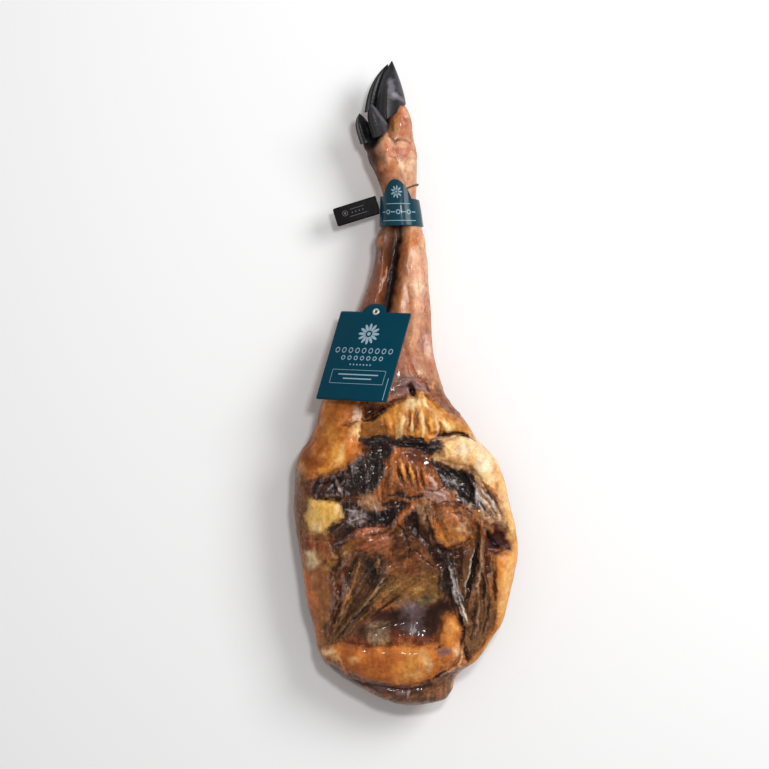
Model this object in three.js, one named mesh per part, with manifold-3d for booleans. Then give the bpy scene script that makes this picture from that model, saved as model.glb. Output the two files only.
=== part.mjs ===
// A whole cured shoulder ham with its trotter, lying on its skin side with the cut face up.
// Millimetres, +Z up, +Y towards the trotter. The origin is the middle of the flat that it rests on.
import * as THREE from "three";
import { ParametricGeometry } from "three/addons/geometries/ParametricGeometry.js";
import { mergeVertices } from "three/addons/utils/BufferGeometryUtils.js";
import Module from "manifold-3d";

const wasm = await Module();
wasm.setup();

// Gap kept between pieces that touch.
const GAP = 0.3;

// The leg is lofted between its two edges as seen from above. Each station gives the left edge (x, y), the
// right edge (x, y), the heights of the underside and of the crown, and the height of each edge.
const STATIONS = [
  [5, -160, 5, -160, 40, 40, 40, 40],
  [-12, -157, 22, -158.5, 28, 54, 40, 40],
  [-32, -150, 42, -154, 18, 64, 40, 40],
  [-52, -139, 50, -144, 12, 70, 40, 41],
  [-72, -127.5, 54, -130, 8, 74, 40, 41],
  [-88, -113.5, 62, -120.5, 4, 77, 41, 42],
  [-96, -98, 80, -109, 1, 80, 42, 44],
  [-98.5, -82, 94, -88, -1, 82, 42, 45],
  [-103, -63, 106, -69, -2, 84, 42, 46],
  [-108.5, -42, 113, -46, -3, 86, 42, 47],
  [-112, -18, 119, -20, -3, 88, 42, 47],
  [-116, 8, 123.5, 8, -3, 90, 42, 48],
  [-119.5, 34, 121.5, 34, -3, 91, 42, 48],
  [-122, 62, 114.5, 62, -3, 92, 42, 49],
  [-120.5, 90, 108, 92, -2, 92, 43, 49],
  [-118, 113, 98, 114, 0, 92, 43, 50],
  [-106, 132, 80, 131, 2, 91, 44, 50],
  [-98, 148, 69, 148, 5, 89, 45, 49],
  [-94, 164, 57, 165, 8, 87, 46, 48],
  [-90, 180, 44.5, 181, 11, 85, 46, 47],
  [-82, 200, 38, 201, 14, 82, 46, 46],
  [-71, 226, 32, 226, 16, 79, 46, 46],
  [-60, 250, 29.5, 250, 18, 76, 45, 45],
  [-50, 277, 28.3, 277, 20, 73, 45, 45],
  [-41, 301, 26, 301, 21, 71, 45, 44],
  [-35, 322, 25.3, 322, 22, 69, 44, 44],
  [-32, 340, 23, 340, 22, 67, 44, 44],
  [-32.5, 352, 22, 352, 22, 66, 44, 44],
  [-26.5, 367, 18, 367, 23, 65, 44, 44],
  [-24.2, 380, 15, 380, 24, 63, 44, 44],
  [-23.3, 397, 12, 397, 24, 62, 44, 43],
  [-27.5, 412, 12.7, 412, 23, 62.5, 46, 42],
  [-35, 431, 12.8, 431, 21, 65, 48, 40],
  [-40.5, 448, 13.3, 448, 20, 65, 50, 39],
  [-36, 462, 10, 462, 20.5, 62, 50, 39],
  [-29, 474, 8, 476, 21, 59, 49, 39],
  [-25, 486, 5.5, 487, 23, 56, 48, 39],
  [-21, 495, 1.5, 497, 28, 51, 46, 40],
  [-9, 500, -9, 500, 42, 42, 42, 42],
];
const BODY_STATIONS = 19;
const ROWS_PER_BODY_STATION = 3;
const ROWS_PER_SHANK_STATION = 2;
const TOP_COLUMNS = 34;
const UNDER_COLUMNS = 16;
// How square the section is: 2 is an ellipse, and more is flatter on top with rounder shoulders.
const SQUARENESS = { left: 2.5, right: 3.1, under: 2.3, shank: 2.1 };
const SHANK_STARTS_AT = 150;
const SHANK_IS_ROUND_AT = 230;
// Relief of the cut face fades out over this share of the way up from each edge.
const RELIEF_FADE = 0.5;

// Lobes of fat and muscle that stand proud of the cut face. Each rounds over within its roll of its edge.
const LOBES = [
  { name: "elbow flap", height: 7, roll: 22, edge: [[-96, 182], [-52, 178], [-47, 165], [-50, 148], [-50, 130],
    [-54, 117], [-66, 106], [-90, 94], [-108, 86], [-130, 84], [-130, 125], [-108, 145]] },
  { name: "pleated fan of fat", height: 6, roll: 20, edge: [[16, 184], [24, 178], [36, 166], [50, 155], [66, 150],
    [60, 139], [42, 140], [28, 133], [0, 138], [-25, 138], [-49, 134], [-46, 152], [-25, 162], [2, 178]] },
  { name: "right shoulder fat", height: 8, roll: 22, edge: [[40, 130], [62, 137], [84, 134], [130, 110], [130, 20],
    [114, 32], [106, 50], [98, 70], [84, 88], [72, 104], [55, 107], [36, 112]] },
  { name: "right rim of fat", height: 9, roll: 17, edge: [[112, 14], [130, 30], [130, -60], [92, -112], [66, -124],
    [68, -108], [84, -96], [98, -72], [100, -45], [97, -15], [93, 8]] },
  { name: "pale fat cap", height: 6, roll: 13, edge: [[-106, 66], [-88, 67], [-71, 62], [-70, 50], [-80, 41],
    [-93, 30], [-106, 34], [-109, 52]] },
  { name: "joint knob", height: 8, roll: 20, edge: [[27, 58], [45, 62], [62, 58], [73, 44], [74, 26], [62, 15],
    [44, 13], [28, 22], [22, 42]] },
  { name: "salmon muscle", height: 5, roll: 16, edge: [[-56, 36], [-20, 37], [-12, 22], [-16, 4], [-32, 10],
    [-52, 13], [-66, 22]] },
  { name: "golden bottom lobe", height: 8, roll: 24, edge: [[-92, -94], [-68, -88], [-40, -93], [-12, -92],
    [12, -92], [34, -86], [42, -62], [54, -58], [61, -76], [60, -100], [46, -120], [20, -131], [-5, -136],
    [-42, -130], [-72, -118], [-96, -108]] },
  { name: "left flank muscle", height: 4, roll: 16, edge: [[-130, 25], [-84, 22], [-72, 2], [-78, -14], [-72, -44],
    [-84, -78], [-120, -78]] },
];

// Lean meat that has dried back below the fat round it.
const HOLLOWS = [
  { name: "dark lean under the elbow", depth: 5, roll: 9, edge: [[-50, 134], [0, 136], [24, 131], [37, 124],
    [28, 112], [8, 118], [-14, 124], [-20, 104], [-28, 84], [-45, 72], [-72, 74], [-103, 84], [-75, 98],
    [-52, 116]] },
  { name: "dark lean on the right", depth: 6, roll: 9, edge: [[30, 112], [56, 104], [68, 97], [78, 80], [79, 60],
    [66, 64], [46, 80], [30, 100]] },
  { name: "dark lean in the middle", depth: 5, roll: 9, edge: [[-70, 66], [-48, 66], [-30, 57], [-10, 60],
    [-8, 48], [-20, 37], [-58, 38], [-74, 44]] },
  { name: "valley beside the knob", depth: 7, roll: 9, edge: [[2, 62], [16, 56], [24, 36], [30, 14], [14, 18],
    [2, 34]] },
  { name: "crease of the blade", depth: 6, roll: 9, edge: [[74, 50], [86, 40], [82, 10], [76, -20], [68, -60],
    [66, -100], [62, -92], [64, -60], [66, -20], [72, 10]] },
  { name: "red pocket", depth: 6, roll: 7, edge: [[96, 37], [108, 34], [114, 18], [100, 13], [89, 14], [88, 27]] },
  { name: "left fan of lean", depth: 4, roll: 10, edge: [[-60, 12], [-36, 9], [-20, -16], [-34, -36], [-58, -66],
    [-80, -86], [-80, -70], [-66, -40], [-74, -12]] },
  { name: "purple hollow", depth: 6, roll: 12, edge: [[-30, -56], [4, -46], [48, -40], [52, -52], [38, -66],
    [30, -84], [0, -84], [-50, -88], [-52, -72]] },
  { name: "groove above the rind", depth: 4, roll: 6, edge: [[-66, -126], [0, -137], [26, -133], [44, -121],
    [50, -116], [46, -126], [26, -140], [-2, -145], [-45, -138]] },
  { name: "elbow pocket", depth: 7, roll: 8, edge: [[-48, 170], [-30, 174], [-14, 180], [4, 182], [6, 190],
    [12, 180], [22, 186], [40, 172], [58, 161], [38, 162], [20, 178], [2, 178], [-24, 161], [-46, 153]] },
];

// Long ridges (positive) and furrows (negative), each with the half-width of its foot.
const LINES = [
  { name: "valley between the tendons", height: -13, reach: 15, path: [[-7, 372], [-9, 350], [-13, 325],
    [-16, 300], [-21, 275], [-27, 245], [-30, 215]] },
  { name: "shank tendon", height: 4, reach: 12, path: [[6, 340], [10, 315], [12, 290], [10, 260], [8, 235]] },
  { name: "second tendon", height: 3, reach: 7, path: [[2, 306], [-3, 285], [-4, 262]] },
  { name: "groove beside the tendon", height: -3, reach: 5, path: [[7, 296], [6, 272], [4, 250]] },
  { name: "long side groove", height: -3, reach: 8, path: [[26, 300], [20, 260], [20, 225], [30, 200]] },
  { name: "left tendon", height: 3, reach: 9, path: [[-25, 355], [-24, 325], [-28, 295], [-34, 270]] },
  { name: "glossy sinew", height: 5, reach: 7, path: [[50, -8], [53, -28], [60, -50], [67, -66]] },
  { name: "second sinew", height: 4, reach: 6, path: [[84, 38], [83, 8], [86, -14], [92, -36]] },
  { name: "diagonal tendon", height: 5, reach: 7, path: [[8, 60], [-4, 48], [-16, 38]] },
  { name: "bevel of the right shoulder", height: -3, reach: 8, path: [[44, 139], [60, 138], [78, 131]] },
  { name: "fold at the foot of the lobe", height: 5, reach: 8, path: [[32, -130], [48, -120], [64, -113]] },
];

// Rows of upright pleats in the fat, faded to nothing at their edge.
const PLEATS = [
  { name: "pleats under the elbow", height: 2.2, pitch: 10, lean: -0.12, fade: 14, edge: [[-2, 180], [24, 178],
    [46, 150], [36, 136], [0, 138], [-8, 150]] },
  { name: "pleats of the pillar", height: 2.2, pitch: 9, lean: -0.25, fade: 10, edge: [[-16, 124], [6, 118],
    [38, 82], [26, 74], [-20, 78]] },
];

// Soft swellings where muscle, bone or the toes lie under the skin: centre, radii, tilt in plan and spin
// about the long axis in degrees.
const TOES = [
  { name: "near toe", at: [-6, 478, 48], radii: [14, 25, 14], plan: 4, spin: -30 },
  { name: "far toe", at: [-23, 478, 33], radii: [15, 24, 12], plan: 4, spin: -30 },
  { name: "near dewclaw stem", at: [-20, 450, 60], radii: [9, 24, 9], plan: 14, spin: -30 },
  { name: "far dewclaw stem", at: [-32, 445, 46], radii: [9, 18, 9], plan: 12, spin: -30 },
];
const TOE_SIDES = 14;
const TOE_BANDS = 9;

// The foot is seen turned, with the back of the pastern partly up: the angle of that turn.
const FOOT_TURN = THREE.MathUtils.degToRad(30);
const PALMAR = new THREE.Vector3(-Math.cos(FOOT_TURN), 0, Math.sin(FOOT_TURN));
const LATERAL = new THREE.Vector3(Math.sin(FOOT_TURN), 0, Math.cos(FOOT_TURN));

// Claws: where the base sits and the tip ends, how far the base slants back on the sole side, half the depth
// from front edge to sole, half the width, which side of the cleft, and how bluntly front and sole taper.
const CLAWS = [
  { name: "claw_near", base: [-14.5, 491, 51], tip: [-14.3, 550, 46], slant: 11, depth: 17.5, width: 11, side: 1,
    front: 1.4, sole: 2.8 },
  { name: "claw_far", base: [-26.5, 495, 33], tip: [-19, 547, 39], slant: 1, depth: 19.5, width: 11, side: -1,
    front: 1.4, sole: 3.2 },
  { name: "dewclaw_near", base: [-25.5, 468, 66], tip: [-37, 499, 75], slant: 6, depth: 9.5, width: 7.5, side: 1,
    front: 3.6, sole: 4.2 },
  { name: "dewclaw_far", base: [-39, 459, 48], tip: [-50, 491, 54], slant: 2, depth: 9.5, width: 7.5, side: -1,
    front: 3.6, sole: 4.2 },
];
// Section of a claw across its length: front edge, outer wall, outer rim of the sole, sole, inner rim, inner wall.
const CLAW_SECTION = [[-1, 0.05], [-0.55, 0.62], [0.05, 0.98], [0.74, 1.08], [0.98, 0.45], [1, -0.42], [0.72, -0.74],
  [0.1, -0.7], [-0.6, -0.42]];
const CLAW_SIDES = 18;
const CLAW_RINGS = 9;

// The printed band round the wrist, a loose sleeve that narrows upwards and ends in a raised tab: middle x,
// half width and half depth at its lower edge and at the height of its upper edge.
const BAND = { low: { y: 367, x: -3.9, halfWidth: 23.5, halfDepth: 24.5 },
  high: { y: 398, x: -5.9, halfWidth: 20.6, halfDepth: 22.6 },
  z: 44, thick: 0.9, fall: -0.1, tab: 19.5, tabAt: 1.74, tabReach: 0.8, sides: 60, bands: 2 };
// The thin tie round the wrist above the band: ring heights on the right and left, and its thickness.
const TIE = { rightY: 413.5, leftY: 394, diameter: 1.8, clear: 0.7, sides: 6, steps: 36 };
// The stiff black strip that sticks out from the left of the band.
const STRIP = { end: [-77, 377, 37], root: [-24, 393.5, 37], width: 20.5, thick: 0.8 };
const PLUG_RINGS = 12;
// The hanging card: its top left corner, the edges from there across and down, and how far it bows up.
const CARD = { corner: [-70, 273.5, 44], across: [76.5, -3.5, 37], down: [-27, -96, 32], thick: 1.2, bow: 5,
  clear: 0.4, columns: 14, rows: 8 };
// The share of the leg's length that is searched for the card's rest, how finely, and the margin round the card.
const CARD_REST = { from: 0.45, to: 0.75, rows: 120, columns: 40, margin: 0.05 };
// The card's rounded tab, in shares of its width and height, and the eyelet in it.
const TAB = { across: 0.475, reach: 0.165, rise: 0.095 };
const EYELET = { across: 0.5, down: -0.005, step: 0.02, outer: 3.9, inner: 1.7, thick: 2, sides: 20 };

// Geometry as one closed solid: vertices welded, empty triangles dropped, faces turned out.
function solidOf(geometry) {
  const bare = geometry.clone();
  bare.deleteAttribute("normal");
  bare.deleteAttribute("uv");
  const welded = mergeVertices(bare, 1e-4);
  const corners = welded.index.array;
  const kept = [];
  for (let i = 0; i < corners.length; i += 3) {
    const [a, b, c] = [corners[i], corners[i + 1], corners[i + 2]];
    if (a !== b && b !== c && c !== a) kept.push(a, b, c);
  }
  const build = (faces) =>
    new wasm.Manifold(
      new wasm.Mesh({
        numProp: 3,
        vertProperties: new Float32Array(welded.attributes.position.array),
        triVerts: new Uint32Array(faces),
      }),
    );
  const made = build(kept);
  if (made.volume() > 0) return made;
  for (let i = 0; i < kept.length; i += 3) [kept[i + 1], kept[i + 2]] = [kept[i + 2], kept[i + 1]];
  return build(kept);
}

function geometryOf(solid) {
  const { vertProperties, triVerts } = solid.getMesh();
  const geometry = new THREE.BufferGeometry();
  geometry.setAttribute("position", new THREE.BufferAttribute(vertProperties, 3));
  geometry.setIndex(new THREE.BufferAttribute(triVerts, 1));
  geometry.computeVertexNormals();
  return geometry;
}

// The relief of the cut face.

function insideDistance(edge, x, y) {
  let nearest = Infinity;
  let inside = false;
  for (let i = 0, j = edge.length - 1; i < edge.length; j = i++) {
    const [ax, ay] = edge[i];
    const [bx, by] = edge[j];
    if (ay > y !== by > y && x < ((bx - ax) * (y - ay)) / (by - ay) + ax) inside = !inside;
    nearest = Math.min(nearest, segmentDistance(x, y, ax, ay, bx, by));
  }
  return inside ? nearest : -nearest;
}

function segmentDistance(x, y, ax, ay, bx, by) {
  const [dx, dy] = [bx - ax, by - ay];
  const along = THREE.MathUtils.clamp(((x - ax) * dx + (y - ay) * dy) / (dx * dx + dy * dy), 0, 1);
  return Math.hypot(x - ax - along * dx, y - ay - along * dy);
}

function pathDistance(path, x, y) {
  let nearest = Infinity;
  for (let i = 1; i < path.length; i++) {
    nearest = Math.min(nearest, segmentDistance(x, y, ...path[i - 1], ...path[i]));
  }
  return nearest;
}

// A quarter circle from 0 to 1, the way a lobe rounds over.
function rollOver(share) {
  const q = 1 - THREE.MathUtils.clamp(share, 0, 1);
  return Math.sqrt(1 - q * q);
}

function relief(x, y) {
  let height = 0;
  for (const lobe of LOBES) {
    height += lobe.height * rollOver(insideDistance(lobe.edge, x, y) / lobe.roll);
  }
  for (const hollow of HOLLOWS) {
    height -= hollow.depth * THREE.MathUtils.smoothstep(insideDistance(hollow.edge, x, y), 0, hollow.roll);
  }
  for (const line of LINES) {
    const q = pathDistance(line.path, x, y) / line.reach;
    if (q < 1) height += line.height * (1 - q * q) ** 2;
  }
  for (const row of PLEATS) {
    const share = THREE.MathUtils.smoothstep(insideDistance(row.edge, x, y), 0, row.fade);
    if (share > 0) height += share * row.height * Math.cos((2 * Math.PI * (x + row.lean * y)) / row.pitch);
  }
  return height;
}

// The leg.

function stationCurve(pick) {
  return new THREE.CatmullRomCurve3(STATIONS.map((s) => new THREE.Vector3(...pick(s))), false, "catmullrom", 0.5);
}
const leftEdge = stationCurve((s) => [s[0], s[1], s[6]]);
const rightEdge = stationCurve((s) => [s[2], s[3], s[7]]);
const levels = stationCurve((s) => [s[4], s[5], 0]);

// Row r of the loft as a share of the way along the stations.
function alongShare(row) {
  const bodyRows = BODY_STATIONS * ROWS_PER_BODY_STATION;
  const station = row < bodyRows ? row / ROWS_PER_BODY_STATION : BODY_STATIONS + (row - bodyRows) / ROWS_PER_SHANK_STATION;
  return station / (STATIONS.length - 1);
}
const LOFT_ROWS = BODY_STATIONS * ROWS_PER_BODY_STATION + (STATIONS.length - 1 - BODY_STATIONS) * ROWS_PER_SHANK_STATION;

// A point of the leg's surface: along from 0 at the butt to 1 at the toes, around from 0 at the left edge
// over the cut face to 0.5 at the right edge and back under the skin side.
function legPoint(along, around, withRelief) {
  const left = leftEdge.getPoint(along);
  const right = rightEdge.getPoint(along);
  const { x: under, y: over } = levels.getPoint(along);
  const above = around <= 0.5;
  const turn = Math.PI * (above ? around * 2 : (1 - around) * 2);
  const lift = Math.sin(turn);
  const sweep = -Math.cos(turn);
  const roundness = THREE.MathUtils.smoothstep((left.y + right.y) / 2, SHANK_STARTS_AT, SHANK_IS_ROUND_AT);
  const side = (1 + sweep) / 2;
  const bodySquareness = above ? THREE.MathUtils.lerp(SQUARENESS.left, SQUARENESS.right, side) : SQUARENESS.under;
  const power = 2 / THREE.MathUtils.lerp(bodySquareness, SQUARENESS.shank, roundness);
  const across = (1 + Math.sign(sweep) * Math.abs(sweep) ** power) / 2;
  const rise = Math.abs(lift) ** power;
  const point = left.clone().lerp(right, across);
  point.z += ((above ? over : under) - point.z) * rise;
  if (above && withRelief) point.z += relief(point.x, point.y) * THREE.MathUtils.smoothstep(rise, 0, RELIEF_FADE);
  point.z = Math.max(point.z, 0);
  return point;
}

function aroundShare(column) {
  if (column <= TOP_COLUMNS) return (0.5 * column) / TOP_COLUMNS;
  return 0.5 + (0.5 * (column - TOP_COLUMNS)) / UNDER_COLUMNS;
}

function legSolid() {
  const columns = TOP_COLUMNS + UNDER_COLUMNS;
  const surface = (u, v, target) => {
    const column = Math.round(u * columns) % columns;
    target.copy(legPoint(alongShare(Math.round(v * LOFT_ROWS)), aroundShare(column), true));
  };
  return solidOf(new ParametricGeometry(surface, columns, LOFT_ROWS));
}

function toeSolid({ at, radii, plan, spin }) {
  const ball = new THREE.SphereGeometry(1, TOE_SIDES, TOE_BANDS);
  ball.scale(...radii);
  ball.rotateY(THREE.MathUtils.degToRad(spin));
  ball.rotateZ(THREE.MathUtils.degToRad(plan));
  ball.translate(...at);
  return solidOf(ball);
}

// Claws.

function clawSolid(claw, grow) {
  const base = new THREE.Vector3(...claw.base);
  const tip = new THREE.Vector3(...claw.tip);
  const section = new THREE.CatmullRomCurve3(
    CLAW_SECTION.map(([a, b]) => new THREE.Vector3(a, b, 0)), true, "catmullrom", 0.5);
  const surface = (u, v, target) => {
    const { x: a, y: b } = section.getPoint((Math.round(u * CLAW_SIDES) % CLAW_SIDES) / CLAW_SIDES);
    // The first ring is the middle of the base, and the rest run to the tip.
    const spread = v === 0 ? 0 : 1;
    const share = Math.max(0, (v * CLAW_RINGS - 1) / (CLAW_RINGS - 1));
    const taper = 1 - share ** (a < 0 ? claw.front : claw.sole);
    const narrow = 1 - share ** ((claw.front + claw.sole) / 2);
    target.lerpVectors(base, tip, share);
    target.y -= (spread * claw.slant * a + grow) * (1 - share);
    target.addScaledVector(PALMAR, spread * a * (claw.depth * taper + grow));
    target.addScaledVector(LATERAL, spread * claw.side * b * (claw.width * narrow + grow));
    if (share === 1) target.copy(tip);
  };
  return solidOf(new ParametricGeometry(surface, CLAW_SIDES, CLAW_RINGS));
}

// The band, the tie and the strip.

// The band as a closed loop of rings: up its inside, then down its outside.
function bandSolid() {
  const { sides, bands } = BAND;
  const rings = 2 * bands + 2;
  const surface = (u, v, target) => {
    const turn = (2 * Math.PI * (Math.round(u * sides) % sides)) / sides;
    const ring = Math.round(v * rings) % rings;
    const isOuter = ring > bands;
    const share = (isOuter ? rings - 1 - ring : ring) / bands;
    target.copy(bandPoint(turn, share, isOuter ? BAND.thick : 0));
  };
  return solidOf(new ParametricGeometry(surface, sides, rings));
}

// Middle x, half width and half depth of the band at height y.
function bandOval(y, grow) {
  const share = (y - BAND.low.y) / (BAND.high.y - BAND.low.y);
  const at = (key) => THREE.MathUtils.lerp(BAND.low[key], BAND.high[key], share);
  return { x: at("x"), halfWidth: at("halfWidth") + grow, halfDepth: at("halfDepth") + grow };
}

function bandPoint(turn, share, grow) {
  const q = Math.min(1, Math.abs(turn - BAND.tabAt) / BAND.tabReach);
  const high = BAND.high.y + BAND.fall * BAND.high.halfWidth * Math.cos(turn) + BAND.tab * (1 - q * q) ** 0.8;
  const y = THREE.MathUtils.lerp(BAND.low.y, high, share);
  const oval = bandOval(y, grow);
  return new THREE.Vector3(oval.x + oval.halfWidth * Math.cos(turn), y, BAND.z + oval.halfDepth * Math.sin(turn));
}

function tieSolid() {
  const around = (turn) => {
    const y = THREE.MathUtils.lerp(TIE.leftY, TIE.rightY, (1 + Math.cos(turn)) / 2);
    const along = shareAtY(y);
    const left = leftEdge.getPoint(along);
    const right = rightEdge.getPoint(along);
    const { x: under, y: over } = levels.getPoint(along);
    const reach = TIE.clear + TIE.diameter / 2;
    const middle = left.clone().lerp(right, 0.5);
    const rim = THREE.MathUtils.lerp(left.z, right.z, (1 + Math.cos(turn)) / 2);
    const halfWidth = (right.x - left.x) / 2 + reach;
    const rise = (Math.sin(turn) > 0 ? over - rim + reach : rim - under + reach) * Math.sin(turn);
    return new THREE.Vector3(middle.x + halfWidth * Math.cos(turn), y, rim + rise);
  };
  const points = [];
  for (let i = 0; i < TIE.steps; i++) points.push(around((2 * Math.PI * i) / TIE.steps));
  const loop = new THREE.CatmullRomCurve3(points, true);
  const { normals, binormals } = loop.computeFrenetFrames(TIE.steps, true);
  const surface = (u, v, target) => {
    const step = Math.round(v * TIE.steps) % TIE.steps;
    const turn = (2 * Math.PI * (Math.round(u * TIE.sides) % TIE.sides)) / TIE.sides;
    target.copy(loop.getPointAt(step / TIE.steps));
    target.addScaledVector(normals[step], (Math.cos(turn) * TIE.diameter) / 2);
    target.addScaledVector(binormals[step], (Math.sin(turn) * TIE.diameter) / 2);
  };
  return solidOf(new ParametricGeometry(surface, TIE.sides, TIE.steps));
}

function shareAtY(y) {
  let [low, high] = [0.4, 1];
  for (let i = 0; i < 30; i++) {
    const middle = (low + high) / 2;
    if (leftEdge.getPoint(middle).y < y) low = middle;
    else high = middle;
  }
  return (low + high) / 2;
}

function stripSolid() {
  const end = new THREE.Vector3(...STRIP.end);
  const root = new THREE.Vector3(...STRIP.root);
  const run = root.clone().sub(end);
  const length = run.length();
  const across = new THREE.Vector3(-run.y, run.x, 0).normalize();
  const card = new THREE.BoxGeometry(length, STRIP.width, STRIP.thick);
  const turn = new THREE.Matrix4().makeBasis(run.normalize(), across, new THREE.Vector3(0, 0, 1));
  card.applyMatrix4(turn);
  const middle = end.clone().lerp(root, 0.5);
  card.translate(middle.x, middle.y, middle.z);
  // It is cut off where it meets the outside of the band.
  const plug = (u, v, target) => {
    const turn = (2 * Math.PI * (Math.round(u * BAND.sides) % BAND.sides)) / BAND.sides;
    const y = THREE.MathUtils.lerp(BAND.low.y, BAND.high.y + BAND.tab, v);
    const oval = bandOval(y, BAND.thick + GAP);
    const spread = v === 0 || v === 1 ? 0 : 1;
    target.set(oval.x + spread * oval.halfWidth * Math.cos(turn), y,
      BAND.z + spread * oval.halfDepth * Math.sin(turn));
  };
  return solidOf(card).subtract(solidOf(new ParametricGeometry(plug, BAND.sides, PLUG_RINGS)));
}

// The card.

// A point of the card's middle surface, with across and down from 0 to 1 in its rectangle.
function cardPoint(across, down) {
  const point = new THREE.Vector3(...CARD.corner);
  point.addScaledVector(new THREE.Vector3(...CARD.across), across);
  point.addScaledVector(new THREE.Vector3(...CARD.down), down);
  point.z += CARD.bow * (1 - (2 * across - 1) ** 2);
  return point;
}

// Lift that lays the card on the part of the leg below it, clear of the skin.
function cardLift() {
  const width = new THREE.Vector3(...CARD.across);
  const drop = new THREE.Vector3(...CARD.down);
  const area = width.x * drop.y - width.y * drop.x;
  const { from, to, rows, columns, margin } = CARD_REST;
  let lift = -Infinity;
  for (let i = 0; i <= rows * columns; i++) {
    const along = THREE.MathUtils.lerp(from, to, Math.floor(i / columns) / rows);
    const skin = legPoint(along, (0.5 * (i % columns)) / columns, true);
    const [x, y] = [skin.x - CARD.corner[0], skin.y - CARD.corner[1]];
    const across = (x * drop.y - y * drop.x) / area;
    const down = (width.x * y - width.y * x) / area;
    if (Math.abs(across - 0.5) > 0.5 + margin || down < cardTop(across) - margin || down > 1 + margin) continue;
    lift = Math.max(lift, skin.z - cardPoint(across, down).z);
  }
  return lift + CARD.thick / 2 + CARD.clear;
}

function cardTop(across) {
  const q = Math.min(1, Math.abs(across - TAB.across) / TAB.reach);
  return -TAB.rise * Math.sqrt(1 - q ** 2.2);
}

// The card as one closed loop of columns: across its face, then back across its underside.
function cardSolid(lift) {
  const normal = new THREE.Vector3(...CARD.down).cross(new THREE.Vector3(...CARD.across)).normalize();
  const { columns, rows } = CARD;
  const around = 2 * columns + 2;
  const surface = (u, v, target) => {
    const column = Math.round(u * around) % around;
    const onFace = column <= columns;
    const across = (onFace ? column : around - 1 - column) / columns;
    const row = Math.round(v * (rows + 2));
    const down = THREE.MathUtils.clamp((row - 1) / rows, 0, 1);
    // The first and last rows close the ends on the middle surface.
    const isEnd = row === 0 || row === rows + 2;
    const offset = isEnd ? 0 : CARD.thick / (onFace ? 2 : -2);
    target.copy(cardPoint(across, THREE.MathUtils.lerp(cardTop(across), 1, down)));
    target.z += lift;
    target.addScaledVector(normal, offset);
  };
  return solidOf(new ParametricGeometry(surface, around, rows + 2));
}

// Lathed ring at the eyelet's place, standing along the card's normal.
function eyeletRing(lift, inner, outer, thick) {
  const half = thick / 2;
  const profile = [[inner, -half], [outer, -half], [outer, half], [inner, half], [inner, -half]];
  const ring = new THREE.LatheGeometry(profile.map(([r, h]) => new THREE.Vector2(r, h)), EYELET.sides);
  const { across, down, step } = EYELET;
  const spot = cardPoint(across, down);
  const acrossStep = cardPoint(across + step, down).sub(spot);
  const downStep = cardPoint(across, down + step).sub(spot);
  const normal = downStep.cross(acrossStep).normalize();
  ring.applyQuaternion(new THREE.Quaternion().setFromUnitVectors(new THREE.Vector3(0, 1, 0), normal));
  ring.translate(spot.x, spot.y, spot.z + lift);
  return solidOf(ring);
}

// Colours of the parts, as seen on the real ones.
const LOOKS = {
  ham: { color: 0xa8683a, roughness: 0.45, metalness: 0 },
  horn: { color: 0x2a2829, roughness: 0.35, metalness: 0 },
  print: { color: 0x0b3a4a, roughness: 0.4, metalness: 0 },
  strip: { color: 0x1c1a1a, roughness: 0.5, metalness: 0 },
  twine: { color: 0x5a3a26, roughness: 0.8, metalness: 0 },
  metal: { color: 0xd8dadb, roughness: 0.3, metalness: 0.9 },
};

const part = new THREE.Group();

function add(name, look, solid) {
  const mesh = new THREE.Mesh(geometryOf(solid), new THREE.MeshStandardMaterial(LOOKS[look]));
  mesh.name = name;
  part.add(mesh);
}

let leg = legSolid();
for (const toe of TOES) leg = leg.add(toeSolid(toe));
const round = [];
for (const claw of CLAWS) {
  // A dewclaw gives way to the claw beside it.
  add(claw.name, "horn", round.reduce((rest, other) => rest.subtract(other), clawSolid(claw, 0)));
  round.push(clawSolid(claw, GAP));
}
for (const room of round) leg = leg.subtract(room);
add("ham", "ham", leg);

add("wrist_band", "print", bandSolid());
add("wrist_tie", "twine", tieSolid());
add("black_strip", "strip", stripSolid());

const lift = cardLift();
add("hang_tag", "print", cardSolid(lift).subtract(eyeletRing(lift, 0, EYELET.outer + GAP, 3 * EYELET.thick)));
add("eyelet", "metal", eyeletRing(lift, EYELET.inner, EYELET.outer, EYELET.thick));

export default part;
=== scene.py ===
"""A whole cured shoulder ham with its trotter, wrist band, tie, black strip and hanging card."""

import itertools
import math

import bpy
import numpy as np
from bpy.props import FloatProperty, FloatVectorProperty, PointerProperty
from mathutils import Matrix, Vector


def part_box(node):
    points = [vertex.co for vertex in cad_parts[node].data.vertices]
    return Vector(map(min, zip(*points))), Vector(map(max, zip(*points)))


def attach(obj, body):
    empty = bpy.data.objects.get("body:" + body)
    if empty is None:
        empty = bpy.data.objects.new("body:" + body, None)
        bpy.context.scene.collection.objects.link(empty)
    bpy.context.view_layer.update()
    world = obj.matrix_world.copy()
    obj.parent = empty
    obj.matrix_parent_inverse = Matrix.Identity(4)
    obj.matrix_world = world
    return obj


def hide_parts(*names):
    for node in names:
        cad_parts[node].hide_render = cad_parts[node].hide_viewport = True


bl_info = {
    "name": "Cured Shoulder Ham",
    "version": (1, 0, 0),
    "blender": (4, 5, 0),
    "location": "View3D > Sidebar > Ham",
    "description": "Dresses a cured shoulder ham, its claws, its labels and its studio",
    "category": "Add Mesh",
}

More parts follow.
